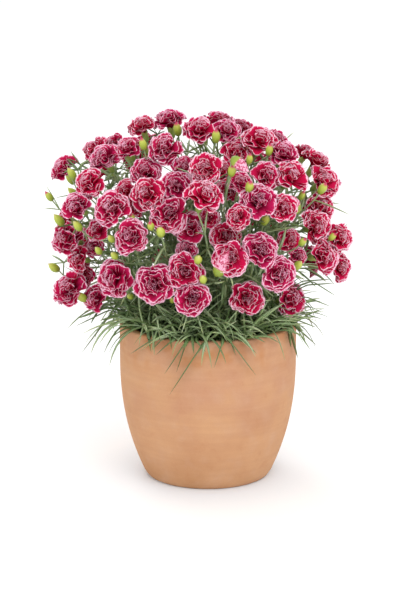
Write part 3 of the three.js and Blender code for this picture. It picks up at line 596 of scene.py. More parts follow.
def route_branch(bloom, shoot, room):
    """Looks for a clear way from the stem to the calyx, by bending the branch and turning the head."""
    jolt = jolter(draws_from(BRANCH_SEED + bloom.index))
    face = free_face(shoot.knuckle, unit(bloom.foot - shoot.knuckle.centre))
    calyx_radius = CALYX_SWELL * CALYX_RADIUS_SHARE * bloom.radius
    facing = bloom.facing
    face.free = False
    for t in range(TRIES):
        turn_head(bloom, unit(facing + jolt(SWING * t)))
        reach = size(bloom.foot - face.middle)
        turn_in = face.middle + face.way * (BRANCH_RUN_OUT * reach) + jolt(SWAY * t * 0.5)
        turn_out = bloom.foot + bloom.facing * (-BRANCH_RUN_IN * reach) + jolt(SWAY * t)
        bloom.branch = bezier(face.middle, turn_in, turn_out, bloom.foot)
        beads = beads_along(bloom.branch, BRANCH_BENDS)
        calyx = calyx_beads(bloom)
        branch_clear = room.is_clear(beads[FREE_BEADS:], BRANCH_RADIUS, bloom)
        if branch_clear and room.is_clear(calyx, calyx_radius, bloom):
            room.take(beads, BRANCH_RADIUS)
            room.take(calyx, calyx_radius)
            return


def root_share(curve):
    return ROOT_LENGTH / length_of(curve)


def add_bud(place, facing, draw, shoots, room):
    scale = drawn(draw, BUD_SCALES)
    tip, foot = (place + facing * (side * BUD_LENGTH * scale) for side in (0.5, -0.5))
    beads = beads_along(bezier(foot, tip), [])
    radius = BUD_RADIUS * scale
    host = nearest(room.blooms, lambda bloom: size(bloom.foot - foot))
    if not room.is_clear(beads, radius + CLEAR):
        return False
    start, ahead = host.branch(BRANCH_BENDS[0]), way_along(host.branch, BRANCH_BENDS[0])
    reach = size(foot - start)
    jolt = jolter(draw)
    for t in range(BUD_TRIES):
        turn_in = start + ahead * (STALK_RUN_OUT * reach) + jolt(t)
        turn_out = foot + facing * (-STALK_RUN_IN * reach) + jolt(t)
        stalk = bezier(start, turn_in, turn_out, foot)
        stalk_beads = beads_along(stalk, [root_share(stalk), STALK_BEND])
        if room.is_clear(stalk_beads[FREE_BEADS:], STALK_RADIUS):
            room.take(stalk_beads, STALK_RADIUS)
            room.take(beads, radius)
            shoot = next(each for each in shoots if host in each.blooms)
            shoot.buds.append(Thing(stalk=stalk, foot=foot, tip=tip, radius=radius))
            return True
    return False


def bud_facing(point, draw, lit):
    return unit(facing_at(point, draw, lit) + UP * BUD_LIFT)


def plan_buds(shoots, room):
    """Sets out the buds, and gives those seen from the front that the solids have no room for."""
    missed = []
    for i, (across, up) in enumerate(FRONT_BUDS):
        draw = draws_from(FRONT_BUD_SEED + i)
        ray, point = on_dome(across, up)
        facing = bud_facing(point, draw, True)
        if not any(add_bud(point + ray * depth, facing, draw, shoots, room) for depth in BUD_DEPTHS):
            missed.append(Thing(point=point, facing=facing))
    for k in range(BUD_SKIP, BACK_PLACES, BUD_SKIP):
        draw = draws_from(BACK_BUD_SEED + k)
        point = back_point(k, 1 + BUD_STAND_OUT * draw())
        if point[2] > BACK_BUD_LOWEST and point[1] > BACK_BUD_NEAREST:
            add_bud(point, bud_facing(point, draw, False), draw, shoots, room)
    return missed


# Leaves

def leaf_bends(curve):
    return LONG_BENDS if length_of(curve) > LONG else SHORT_BENDS


def leaf_curve(root, turn, rise, fall, length):
    middle = root + outward(turn, rise) * (length / 2)
    return bezier(root, middle, middle + outward(turn, fall) * (length / 2))


def find_leaf(root, turn, rise, fall, length, width, room):
    """Looks for a clear way for a leaf by turning and lifting it."""
    for lift in LIFTS:
        for swing in TURNS:
            curve = leaf_curve(root, turn + swing, rise + lift, fall + lift, length)
            beads = beads_along(curve, leaf_bends(curve))
            if meets_pot(beads[1:], width / 2) or not room.is_clear(beads[LEAF_FREE_BEADS:], width / 2):
                continue
            return Thing(curve=curve, turn=turn + swing, width=width, beads=beads)
    return None


def plan_pairs(shoot, k, room):
    """Pairs of leaves up a stem."""
    draw = draws_from(LEAF_PAIR_SEED + k)
    for p, (share, length) in enumerate(OUTER_PAIRS if is_outer(shoot) else INNER_PAIRS):
        root = shoot.stem(share)
        turn = shoot.turn + p % 2 * (math.pi / 2) + PAIR_TURN_CHANGE * (draw() - 0.5)
        width = LEAF_WIDTH * drawn(draw, PAIR_WIDTHS)
        pair = []
        for side in (0, math.pi):
            rise, fall = (math.radians(drawn(draw, span)) for span in (PAIR_RISE, PAIR_FALL))
            long = length * drawn(draw, PAIR_LENGTHS)
            pair.append(find_leaf(root, turn + side, rise, fall, long, width, room))
        for leaf in pair:
            if leaf:
                room.take(leaf.beads, width / 2)
                shoot.leaves.append(leaf)


def plan_tuft(shoot, turn, draw, room):
    """A side shoot of the outer tier, which ends by the rim in leaves that arch over it."""
    centre = outward(turn) * (TUFT_RING + TUFT_RING_CHANGE * draw())
    centre[2] = TUFT_HEIGHT + TUFT_HEIGHT_CHANGE * draw()
    start = shoot.stem(TUFT_START)
    back = start - centre
    back[2] = -TUFT_DROP
    back = unit(back)
    knuckle = make_knuckle(centre, back)
    end = knuckle.faces[0].middle
    stalk = bezier(start, start + (end - start) * 0.3 - UP * 2, end + back * TUFT_RUN_IN, end)
    beads = beads_along(stalk, [root_share(stalk), TUFT_BEND])
    if not room.is_clear(beads[FREE_BEADS:-1], BRANCH_RADIUS):
        return
    tuft = Thing(knuckle=knuckle, stalk=stalk, leaves=[])
    over_rim = outward(turn, TUFT_LOOK)
    for face in sorted(knuckle.faces[1:], key=lambda face: -(face.way @ over_rim))[:TUFT_LEAVES]:
        leaf_turn = math.atan2(face.way[1], face.way[0]) + TUFT_TURN_CHANGE * (draw() - 0.5)
        rise = min(max(math.asin(face.way[2]), TUFT_FLATTEST), TUFT_STEEPEST)
        width = LEAF_WIDTH * drawn(draw, TUFT_WIDTHS)
        fall = math.radians(drawn(draw, TUFT_FALL))
        length = drawn(draw, TUFT_LENGTHS)
        leaf = find_leaf(face.middle, leaf_turn, rise, fall, length, width, room)
        if leaf:
            tuft.leaves.append(leaf)
            room.take(leaf.beads, width / 2)
    room.take(beads, BRANCH_RADIUS)
    shoot.tufts.append(tuft)


def plan_plant():
    """Where every bloom, stem, bud and leaf of the solids stands, in millimetres."""
    blooms = front_blooms()
    add_back_blooms(blooms)
    bunch_up(blooms)
    for i, bloom in enumerate(blooms):
        bloom.index = i
        turn_head(bloom, bloom.facing)
    room = Room(blooms)
    shoots = plan_shoots(blooms, room)
    for shoot in shoots:
        shoot.blooms.sort(key=lambda bloom: -bloom.inset)
        for bloom in shoot.blooms:
            route_branch(bloom, shoot, room)
    missed = plan_buds(shoots, room)
    for k, shoot in enumerate(shoots):
        plan_pairs(shoot, k, room)
    for k, shoot in enumerate(shoots):
        if is_outer(shoot):
            for side, swing in enumerate(TUFT_SWINGS):
                plan_tuft(shoot, shoot.turn + swing, draws_from(RIM_TUFT_SEED + 10 * k + side), room)
    bunches = []
    for bloom in blooms:
        if not any(bloom.bunch is bunch for bunch in bunches):
            bunches.append(bloom.bunch)
    return shoots, bunches, missed


MM = 0.001
SHARP_EDGE = math.radians(110)
POT_SHARP_EDGE = math.radians(50)

# Kinds of node that are used often

MATH = "ShaderNodeMath"
MIX = "ShaderNodeMix"
RANGE = "ShaderNodeMapRange"
NOISE = "ShaderNodeTexNoise"
RAMP = "ShaderNodeValToRGB"
COORDINATES = "ShaderNodeTexCoord"
ATTRIBUTE = "ShaderNodeAttribute"
NAMED_VALUE = "GeometryNodeInputNamedAttribute"
RANDOM_VALUE = "FunctionNodeRandomValue"
FACE_ALONG = "FunctionNodeAlignRotationToVector"


# Small tools for meshes, materials and node trees

def srgb(code):
    """An sRGB hex colour as linear red, green, blue and a full alpha."""
    parts = [int(code[i:i + 2], 16) / 255 for i in (1, 3, 5)]
    return [*(c / 12.92 if c <= 0.04045 else ((c + 0.055) / 1.055) ** 2.4 for c in parts), 1]


def add(tree, kind, inputs=(), output=None, stops=(), **settings):
    """Adds a node with its settings and links, and gives its first output, or the one named.

    The inputs are for its sockets in their order, or by name. Each is a link, a value, a hex colour, or a
    list of links. Stops are a colour ramp's, as (position, hex colour).
    """
    node = tree.nodes.new(kind)
    for name, value in settings.items():
        setattr(node, name, value)
    sockets = [socket for socket in node.inputs if socket.enabled]
    if isinstance(inputs, dict):
        named = {socket.name: socket for socket in sockets}
        sockets, inputs = [named[name] for name in inputs], inputs.values()
    for socket, value in zip(sockets, inputs):
        for each in value if isinstance(value, list) else [value]:
            if isinstance(each, bpy.types.NodeSocket):
                tree.links.new(each, socket)
            else:
                is_color = isinstance(each, str) and each.startswith("#")
                socket.default_value = srgb(each) if is_color else each
    if stops:
        elements = node.color_ramp.elements
        while len(elements) < len(stops):
            elements.new(0.5)
        for element, (position, code) in zip(elements, stops):
            element.position, element.color = position, srgb(code)
    return next((each for each in node.outputs if each.enabled and output in (None, each.name)), None)


def make_mesh(name, points, edges=(), faces=(), **values):
    """A mesh from points in millimetres, with a value for each point under each name."""
    mesh = bpy.data.meshes.new(name)
    mesh.from_pydata((np.asarray(points, dtype=float) * MM).tolist(), edges, faces)
    for key, row in values.items():
        row = np.asarray(row)
        kind = "FLOAT_VECTOR" if row.ndim == 2 else "INT" if row.dtype.kind == "i" else "FLOAT"
        layer = mesh.attributes.new(key, kind, "POINT")
        layer.data.foreach_set("vector" if row.ndim == 2 else "value", row.ravel())
    return mesh


def show(name, data):
    """An object of the scene for a mesh, a lamp or a camera."""
    item = bpy.data.objects.new(name, data)
    bpy.context.scene.collection.objects.link(item)
    return item


def store(name, meshes):
    """A collection of shapes for a tree to draw on, which isn't part of the scene."""
    collection = bpy.data.collections.new(name)
    for mesh in meshes:
        collection.objects.link(bpy.data.objects.new(mesh.name, mesh))
    return collection


def new_tree(name, **sockets):
    """A Geometry Nodes tree with named inputs, and what its inputs give."""
    tree = bpy.data.node_groups.new(name, "GeometryNodeTree")
    tree.interface.new_socket("Geometry", in_out="OUTPUT", socket_type="NodeSocketGeometry")
    for label, kind in {"Geometry": "Geometry", **sockets}.items():
        tree.interface.new_socket(label, in_out="INPUT", socket_type="NodeSocket" + kind)
    return tree, add(tree, "NodeGroupInput").node.outputs


def end_tree(tree, geometry, finishes):
    """Ends a tree: copies made real, then each material where its selection says."""
    geometry = add(tree, "GeometryNodeRealizeInstances", [geometry])
    for finish, selection in finishes:
        geometry = add(tree, "GeometryNodeSetMaterial", [geometry, selection, finish])
    add(tree, "NodeGroupOutput", [geometry])
    return tree


def plain_mesh(item):
    """The mesh that an object's modifiers make of it, in place of the object."""
    mesh = bpy.data.meshes.new_from_object(item.evaluated_get(bpy.context.evaluated_depsgraph_get()))
    item.modifiers.clear()
    bpy.data.objects.remove(item)
    return mesh


def grown(name, mesh, tree, inputs):
    """The plain mesh that a tree makes of a mesh."""
    source = show(name, mesh)
    modifier = source.modifiers.new("growth", "NODES")
    modifier.node_group = tree
    for item in tree.interface.items_tree:
        if item.in_out == "INPUT" and item.name in inputs:
            modifier[item.identifier] = inputs[item.name]
    result = plain_mesh(source)
    result.name = name
    return result


def put(name, mesh, slot, *nodes):
    """Puts a finished piece in the scene in place of nodes of the CAD model."""
    piece = show(name, mesh)
    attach(piece, "root")
    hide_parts(*nodes)


def grid_faces(grid):
    """Faces between the rows of a grid of point numbers."""
    faces = []
    for row, following in zip(grid.tolist(), grid[1:].tolist()):
        faces += zip(row, row[1:], following[1:], following)
    return faces


def fix_sides(mesh):
    """Turns every face of a closed mesh outwards, and smooths it but for its sharp edges."""
    work = bmesh.new()
    work.from_mesh(mesh)
    bmesh.ops.recalc_face_normals(work, faces=work.faces)
    work.to_mesh(mesh)
    work.free()
    mesh.shade_smooth()
    mesh.set_sharp_from_angle(angle=SHARP_EDGE)
    return mesh


def lathe(profile, sides, wave=None):
    """A closed solid of turning from (ring, height) corners, which begin and end on the axis."""
    turns = np.arange(sides) * (2 * math.pi / sides)
    rings = profile[1:-1]
    points = [(0, 0, profile[0][1])]
    for ring, height in rings:
        for turn in turns:
            r, z = wave(ring, height, turn) if wave else (ring, height)
            points.append((r * math.cos(turn), r * math.sin(turn), z))
    points.append((0, 0, profile[-1][1]))
    last = len(points) - 1
    grid = 1 + np.arange(len(rings) * sides).reshape(-1, sides)
    faces = grid_faces(np.column_stack([grid, grid[:, 0]]))
    for j in range(sides):
        k = (j + 1) % sides
        faces.append((0, 1 + k, 1 + j))
        faces.append((last, last - sides + j, last - sides + k))
    return points, faces


def new_material(name):
    """A material and its tree."""
    material = bpy.data.materials.new(name)
    material.use_nodes = True
    return material, material.node_tree


def wash(tree, color, *layers):
    """Lays colours over a colour. Each comes in over a value's range, up to its most."""
    for value, low, high, most, over in layers:
        share = add(tree, RANGE, [value, low, high, 0.0, most])
        color = add(tree, MIX, [share, color, over], data_type="RGBA")
    return color


def set_finish(material, color, constants, normal=None):
    """Gives a material's shader its colour, its constants and its relief."""
    tree = material.node_tree
    shader = tree.nodes["Principled BSDF"]
    tree.links.new(color, shader.inputs["Base Color"])
    if normal:
        tree.links.new(normal, shader.inputs["Normal"])
    for name, value in constants.items():
        shader.inputs[name].default_value = value
    return material


# Petals, in shares of a head's radius, from the outermost (q = 0) to the innermost (q = 1)

PETAL_KINDS = 12
PETALS_PER_HEAD = 36
PETAL_COLUMNS = 14
PETAL_ROWS = np.array([0, 0.5, 0.83, 1.0])
PETAL_THICKNESS = 0.02
TIP_ANGLE, TIP_POWER = 100, 0.92
LEAN_ANGLE, LEAN_CLOSING, LEAN_POWER = 104, 108, 0.9
TIP_RING, TIP_HEIGHT, TIP_PULL = 1.09, 0.62, 0.45
CLAW_RINGS, CLAW_FOOT, CLAW_RISE, CLAW_CLOSING = (0.07, 0.1), -0.12, 0.3, 0.9
HALF_WIDTH, NARROWING, CLAW_WIDTH, CLAW_LENGTH = 0.56, 0.17, 0.12, 0.1
CURL_RADIUS, CURL_CLOSING = 0.5, 0.24
LEAST_WAVES, WAVES_CHANGE, PHASES = 1.0, 0.45, 6
RUFFLE_DEPTH, RUFFLE_DEEPENING, RUFFLE_CHANGE = 0.12, 0.05, 0.03
SMALL_RUFFLE, SMALL_RUFFLE_RATE = 0.08, 2.7
MARGIN_ROUNDING, TOOTH, LOBE, LOBE_RATE = 0.13, 0.009, 0.02, 3.2
PETAL_LONGEST = 1.05
AHEAD = 0.01
FOLD = 0.75
LEAN = 0.09
SPREAD = 1.03
SIZE_CHANGE = 0.06
TINT_CHANGE = 0.22
HEAD_TURNS = 40.0


def petal_line(q, shares):
    """A petal's middle line as (ring, height), from the calyx out to the skin of the head."""
    polar = math.radians(TIP_ANGLE - TIP_ANGLE * q**TIP_POWER)
    lean = math.radians(LEAN_ANGLE - LEAN_CLOSING * q**LEAN_POWER)
    tip = np.array([TIP_RING * math.sin(polar), MOUTH_SHARE + TIP_HEIGHT * math.cos(polar)])
    reach = math.hypot(*tip)
    claw = 1 - CLAW_CLOSING * q
    foot, throat = CLAW_RINGS
    corners = [np.array([foot * claw, CLAW_FOOT]), np.array([throat * claw, CLAW_RISE * reach]),
               tip - TIP_PULL * reach * np.array([math.sin(lean), math.cos(lean)]), tip]
    return np.array([bezier(*corners)(share) for share in shares])


def petal_mesh(kind):
    """A thin blade, closed at its margin, that widens from its claw to teeth and ruffles."""
    q = kind / (PETAL_KINDS - 1)
    draw = draws_from(PETAL_SEED + kind)
    waves, phase = LEAST_WAVES + WAVES_CHANGE * draw(), PHASES * draw()
    depth = RUFFLE_DEPTH + RUFFLE_DEEPENING * q + RUFFLE_CHANGE * draw()
    small_phase, lobe_phase = PHASES * draw(), PHASES * draw()
    across = np.linspace(-1, 1, PETAL_COLUMNS)
    teeth = TOOTH * (-1.0) ** np.arange(PETAL_COLUMNS)
    lengths = 1 - MARGIN_ROUNDING * across**2 + teeth + LOBE * np.sin(LOBE_RATE * across + lobe_phase)
    wave = math.pi * waves * across + phase
    front = np.empty((len(PETAL_ROWS), PETAL_COLUMNS, 3))
    for i, row in enumerate(PETAL_ROWS):
        shares = np.clip(row * lengths, 0, PETAL_LONGEST)
        line = petal_line(q, shares)
        ahead = petal_line(q, shares + AHEAD) - line
        ahead /= np.linalg.norm(ahead, axis=1)[:, None]
        opened = math.sin(math.pi / 2 * max(0, (row - CLAW_LENGTH) / (1 - CLAW_LENGTH)))
        width = (HALF_WIDTH - NARROWING * q) * (CLAW_WIDTH + (1 - CLAW_WIDTH) * opened)
        curl = np.maximum(line[:, 0], CURL_RADIUS - CURL_CLOSING * q)
        folded = across - FOLD * row**2 * np.sin(2 * wave) / (2 * math.pi * waves)
        turn = folded * width / curl
        ruffle = depth * row**2 * np.sin(wave)
        ruffle += SMALL_RUFFLE * depth * row**3 * np.sin(SMALL_RUFFLE_RATE * wave + small_phase)
        front[i, :, 0] = line[:, 0] - curl * (1 - np.cos(turn)) - ahead[:, 1] * ruffle
        front[i, :, 1] = curl * np.sin(turn)
        front[i, :, 2] = line[:, 1] + ahead[:, 0] * ruffle
    return fix_sides(two_sided(f"petal_{kind + 1:02d}", front, across))


def two_sided(name, front, across):
    """A sheet with a back, which shares the points of its margin with the front."""
    normal = np.cross(np.gradient(front, axis=0), np.gradient(front, axis=1))
    normal /= np.linalg.norm(normal, axis=2)[..., None]
    back = front + normal * PETAL_THICKNESS
    inside = (slice(1, -1), slice(1, -1))
    front_grid = np.arange(front[..., 0].size).reshape(front.shape[:2])
    back_grid = front_grid.copy()
    back_grid[inside] = front_grid.size + np.arange(back_grid[inside].size).reshape(back_grid[inside].shape)
    u, v = np.meshgrid(across, PETAL_ROWS)
    values = np.dstack([u, v, np.zeros_like(u)])
    points = np.vstack([front.reshape(-1, 3), back[inside].reshape(-1, 3)])
    values = np.vstack([values.reshape(-1, 3), values[inside].reshape(-1, 3) + (0, 0, 1)])
    return make_mesh(name, points / MM, faces=grid_faces(front_grid) + grid_faces(back_grid),
                     petal_across=values[:, 0], petal_along=values[:, 1], underside=values[:, 2])


def petal_material():
    """Carnation petal, a dull velvet: deep crimson, darker in the claw, with a thin pale margin."""
    material, tree = new_material("carnation petal")
    across, along, underside, tint = (add(tree, ATTRIBUTE, output="Fac", attribute_name=name)
                                      for name in ("petal_across", "petal_along", "underside", "tint"))
    place = add(tree, COORDINATES, output="Object")
    waver = add(tree, NOISE, [place, 1 / (2.5 * MM), 3])
    streaks = add(tree, NOISE, [place, 1 / (0.9 * MM), 1])
    side = add(tree, MATH, [add(tree, MATH, [across], operation="ABSOLUTE"), 6], operation="POWER")
    side = add(tree, MATH, [side, add(tree, RANGE, [along, 0.3, 0.8])], operation="MULTIPLY")
    edge = add(tree, MATH, [along, side], operation="MAXIMUM")
    reach = add(tree, MATH, [edge, add(tree, RANGE, [waver, 0.3, 0.7, -0.03, 0.03])], operation="ADD")
    blade = add(tree, RAMP, [along],
                stops=[(0.0, "#500014"), (0.45, "#B4002E"), (0.8, "#D20042"), (1.0, "#D40E50")])
    faded = add(tree, RAMP, [along],
                stops=[(0.0, "#3C0018"), (0.45, "#92003C"), (0.8, "#B80A4E"), (1.0, "#C22060")])
    pale = wash(tree, "#FFD8E8", (tint, 0.0, 1.0, 1.0, "#FACAE0"))
    color = wash(tree, blade,
                 (tint, 0.3, 1.0, 0.9, faded),
                 (underside, 0.0, 1.0, 0.22, "#B43A66"),
                 (streaks, 0.45, 0.8, 0.35, "#7C0423"),
                 (reach, 0.89, 0.955, 0.4, "#D2456E"),
                 (reach, 0.95, 0.978, 1.0, pale))
    return set_finish(material, color, {"Roughness": 0.7, "IOR": 1.42, "Specular IOR Level": 0.04})


def head_tree():
    """Petals set round each head by the golden angle, from the outermost in."""
    tree, given = new_tree("heads", Petals="Int", Kinds="Int", Turn="Float", Lean="Float", Change="Float",
                           Seed="Int", Shapes="Collection", Finish="Material")
    tint, radius = (add(tree, NAMED_VALUE, [name], data_type="FLOAT") for name in ("tint", "radius"))
    facing = add(tree, NAMED_VALUE, ["facing"], data_type="FLOAT_VECTOR")
    copies = add(tree, "GeometryNodeDuplicateElements",
                 {"Geometry": given["Geometry"], "Amount": given["Petals"]}, domain="POINT")
    rank = copies.node.outputs["Duplicate Index"]
    change = add(tree, RANDOM_VALUE, {"Min": -TINT_CHANGE, "Max": TINT_CHANGE, "Seed": given["Seed"]},
                 data_type="FLOAT")
    changed = add(tree, MATH, [tint, change], operation="ADD")
    tinted = add(tree, "GeometryNodeStoreNamedAttribute",
                 {"Geometry": copies, "Name": "tint", "Value": changed},
                 data_type="FLOAT", domain="POINT")
    shapes = add(tree, "GeometryNodeCollectionInfo", [given["Shapes"], True, True])
    share = add(tree, MATH, [rank, given["Petals"]], operation="DIVIDE")
    share = add(tree, MATH, [share, given["Kinds"]], operation="MULTIPLY")
    shape = add(tree, "FunctionNodeFloatToInt", [share], rounding_mode="FLOOR")
    angle = add(tree, MATH, [tint, HEAD_TURNS], operation="MULTIPLY")
    angle = add(tree, MATH, [rank, angle], operation="ADD")
    angle = add(tree, MATH, [angle, given["Turn"]], operation="MULTIPLY")
    about = add(tree, "FunctionNodeAxisAngleToRotation", [(0, 0, 1), angle])
    lean = add(tree, MATH, [given["Lean"], -1.0], operation="MULTIPLY")
    seeds = [add(tree, MATH, [given["Seed"], step], operation="ADD") for step in (1.0, 2.0, 3.0, 9.0)]
    jolts = [add(tree, RANDOM_VALUE, {"Min": lean, "Max": given["Lean"], "Seed": seed}, data_type="FLOAT")
             for seed in seeds[:3]]
    jolt = add(tree, "FunctionNodeEulerToRotation", [add(tree, "ShaderNodeCombineXYZ", jolts)])
    rotation = add(tree, FACE_ALONG, {"Vector": facing}, axis="Z")
    for step in (about, jolt):
        rotation = add(tree, "FunctionNodeRotateRotation", [rotation, step], rotation_space="LOCAL")
    least = add(tree, MATH, [1.0, given["Change"]], operation="SUBTRACT")
    size_change = add(tree, RANDOM_VALUE, {"Min": least, "Max": 1.0, "Seed": seeds[3]}, data_type="FLOAT")
    scale = add(tree, MATH, [radius, size_change], operation="MULTIPLY")
    petals = add(tree, "GeometryNodeInstanceOnPoints",
                 {"Points": tinted, "Instance": shapes, "Pick Instance": True, "Instance Index": shape,
                  "Rotation": rotation, "Scale": scale})
    return end_tree(tree, petals, [(given["Finish"], True)])


def make_carnations(bunches):
    """A piece for each bunch of heads, its petals carried by Geometry Nodes."""
    tree = head_tree()
    settings = {"Petals": PETALS_PER_HEAD, "Kinds": PETAL_KINDS, "Turn": GOLDEN_TURN, "Lean": LEAN,
                "Change": SIZE_CHANGE, "Finish": petal_material(),
                "Shapes": store("petals", [petal_mesh(kind) for kind in range(PETAL_KINDS)])}
    for i, bunch in enumerate(bunches):
        draw = draws_from(TINT_SEED + i)
        mesh = make_mesh("heads", [bloom.mouth for bloom in bunch],
                         facing=[bloom.facing for bloom in bunch],
                         radius=[bloom.radius * SPREAD * MM for bloom in bunch],
                         tint=[draw() for _ in bunch])
        name = f"carnations_{i + 1:02d}"
        put(name, grown(name, mesh, tree, {**settings, "Seed": i}), "petals", f"blooms_{i + 1:02d}")


# Calyxes and buds, in shares of a head's radius and of a bud's length

TEETH = 5
CALYX_SIDES = 20
CALYX_HEIGHT = 0.87
CALYX_PROFILE = [(0, 0), (0.07, 0), (0.14, 0.05), (0.185, 0.18), (0.2, 0.45), (0.215, 0.62), (0.25, 0.72),
                 (0.235, 0.72), (0.19, 0.6), (0, 0.55)]
CALYX_RIB, CALYX_RIBS = 0.05, 10
TOOTH_FOOT, TOOTH_LENGTH = 0.62, 0.15
BUD_SIDES = 15
BUD_TOP = 1.13
BUD_PROFILE = [(0, 0), (0.1, 0.0), (0.18, 0.05), (0.245, 0.18), (0.285, 0.38), (0.28, 0.58),
               (0.215, 0.78), (0.125, 0.93), (0.06, 1.02), (0.02, 1.1), (0, BUD_TOP)]
BUD_RIB = 0.06


def risen(name, lathed, top):
    """A mesh of turning that knows how high each of its points stands."""
    points, faces = lathed
    points = np.array(points)
    return fix_sides(make_mesh(name, points / MM, faces=faces, rise=points[:, 2] / top))


def calyx_mesh():
    """A ribbed green sleeve that opens in five teeth round the petals."""
    def wave(ring, height, turn):
        tooth = abs((turn * TEETH / (2 * math.pi)) % 1 - 0.5) * 2
        rib = 1 + CALYX_RIB * math.cos(CALYX_RIBS * turn)
        raised = max(0.0, (height - TOOTH_FOOT) / 0.1)
        return ring * rib, height + TOOTH_LENGTH * (1 - tooth) * min(raised, 1) * (ring > 0.1)
    return risen("calyx", lathe(CALYX_PROFILE, CALYX_SIDES, wave), CALYX_HEIGHT)


def bud_mesh():
    """A ribbed oval bud that ends in a small point."""
    def wave(ring, height, turn):
        rib = 1 + BUD_RIB * math.cos(TEETH * turn) * math.sin(math.pi * min(1, height))
        return ring * rib, height
    return risen("bud", lathe(BUD_PROFILE, BUD_SIDES, wave), BUD_TOP)


# Stems and leaves

LIMB, LEAF, CALYX, BUD = range(4)
LIMB_SIDES = 8
LIMB_SPANS = 12
LEAF_SECTION = [(-1, 0.22), (0, -0.02), (1, 0.22), (0, -0.34)]
LEAF_SPANS = 7
SMALL_LEAF_SPANS = 5
LEAF_BASE, LEAF_FULL_AT, LEAF_TIP, LEAF_TAPER = 0.75, 0.25, 0.08, 5
TWIST = 1.9
SHOWN_STEM = 1.3
SHOWN_BRANCH = 0.9
SHOWN_ROOT = 8


def steps_along(curve, spans=LEAF_SPANS):
    """Points at even shares along a curve."""
    return [curve(i / spans) for i in range(spans + 1)]


class Growth:
    """The lines and points that a shoot's tree turns into limbs, leaves, calyxes and buds."""

    def __init__(self, shoot, heads_room):
        self.shoot, self.heads_room = shoot, heads_room
        self.points, self.edges = [], []
        self.values = {"kind": [], "girth": [], "facing": [], "twist": [], "along": [], "tint": []}

    def add_point(self, kind, point, girth, facing, twist=0.0, along=0.0, tint=0.0):
        self.points.append(point)
        values = (kind, girth * MM, facing, twist, along, tint)
        for row, value in zip(self.values.values(), values):
            row.append(value)

    def add_line(self, kind, points, girths, twist, tint):
        first, last = len(self.points), len(points) - 1
        for i, (point, girth) in enumerate(zip(points, girths)):
            self.add_point(kind, point, girth, UP, twist, i / last, tint)
        self.edges += [(first + i, first + i + 1) for i in range(last)]

    def add_limb(self, curve, girth, tint, before=(), after=()):
        points = [*before, *steps_along(curve, LIMB_SPANS), *after]
        self.add_line(LIMB, points, [girth] * len(points), 0.0, tint)

    def add_leaf(self, points, width, twist, tint):
        shares = np.linspace(0, 1, len(points))
        girths = [width / 2 * max(LEAF_TIP, (LEAF_BASE + (1 - LEAF_BASE) * min(1, t / LEAF_FULL_AT))
                                  * (1 - t**LEAF_TAPER)) for t in shares]
        self.add_line(LEAF, points, girths, twist, tint)

    def add_curved_leaf(self, curve, width, draw, spans=LEAF_SPANS, palest=0.0):
        twist = TWIST * (draw() - 0.5)
        self.add_leaf(steps_along(curve, spans), width, twist, palest + (1 - palest) * draw())

    def add_bud(self, foot, tip, tint):
        self.add_point(BUD, foot, size(tip - foot), unit(tip - foot), tint=tint)

    def mesh(self, name):
        values = {key: np.array(row) for key, row in self.values.items()}
        return make_mesh(name, self.points, self.edges, **values)


def shoot_tree():
    """Round limbs, keeled leaves, calyxes and buds along a shoot's lines and points."""
    tree, given = new_tree("shoots", Sides="Int", Section="Object", Calyx="Object", Bud="Object",
                           Stem="Material", Leaf="Material", Sleeve="Material", Shell="Material")
    kind = add(tree, NAMED_VALUE, ["kind"], data_type="INT")
    girth, twist = (add(tree, NAMED_VALUE, [name], data_type="FLOAT") for name in ("girth", "twist"))
    facing = add(tree, NAMED_VALUE, ["facing"], data_type="FLOAT_VECTOR")
    is_kind = [add(tree, "FunctionNodeCompare", [kind, number], data_type="INT", operation="EQUAL")
               for number in (LIMB, LEAF, CALYX, BUD)]
    limbs, leaves, calyxes, buds = (
        add(tree, "GeometryNodeSeparateGeometry", [given["Geometry"], selection], domain="POINT")
        for selection in is_kind)
    section, calyx, bud = (add(tree, "GeometryNodeObjectInfo", [given[label]], output="Geometry")
                           for label in ("Section", "Calyx", "Bud"))
    circle = add(tree, "GeometryNodeCurvePrimitiveCircle", [given["Sides"], 1.0])
    limbs, leaves, section = (add(tree, "GeometryNodeMeshToCurve", [each])
                              for each in (limbs, leaves, section))
    leaves = add(tree, "GeometryNodeSetCurveNormal", [leaves], mode="Z_UP")
    leaves = add(tree, "GeometryNodeSetCurveTilt", {"Curve": leaves, "Tilt": twist})
    skins = [add(tree, "GeometryNodeCurveToMesh", [line, profile, girth, True])
             for line, profile in ((limbs, circle), (leaves, section))]
    rotation = add(tree, FACE_ALONG, {"Vector": facing}, axis="Z")
    copies = [add(tree, "GeometryNodeInstanceOnPoints",
                  {"Points": points, "Instance": model, "Rotation": rotation, "Scale": girth})
              for points, model in ((calyxes, calyx), (buds, bud))]
    parts = add(tree, "GeometryNodeJoinGeometry", [[*skins, *copies]])
    smooth = add(tree, "GeometryNodeSetShadeSmooth", [parts])
    finishes = [given[label] for label in ("Stem", "Leaf", "Sleeve", "Shell")]
    return end_tree(tree, smooth, zip(finishes, is_kind))


# Foliage that the solids leave out: thin stems, small pairs of leaves, and leafy side shoots

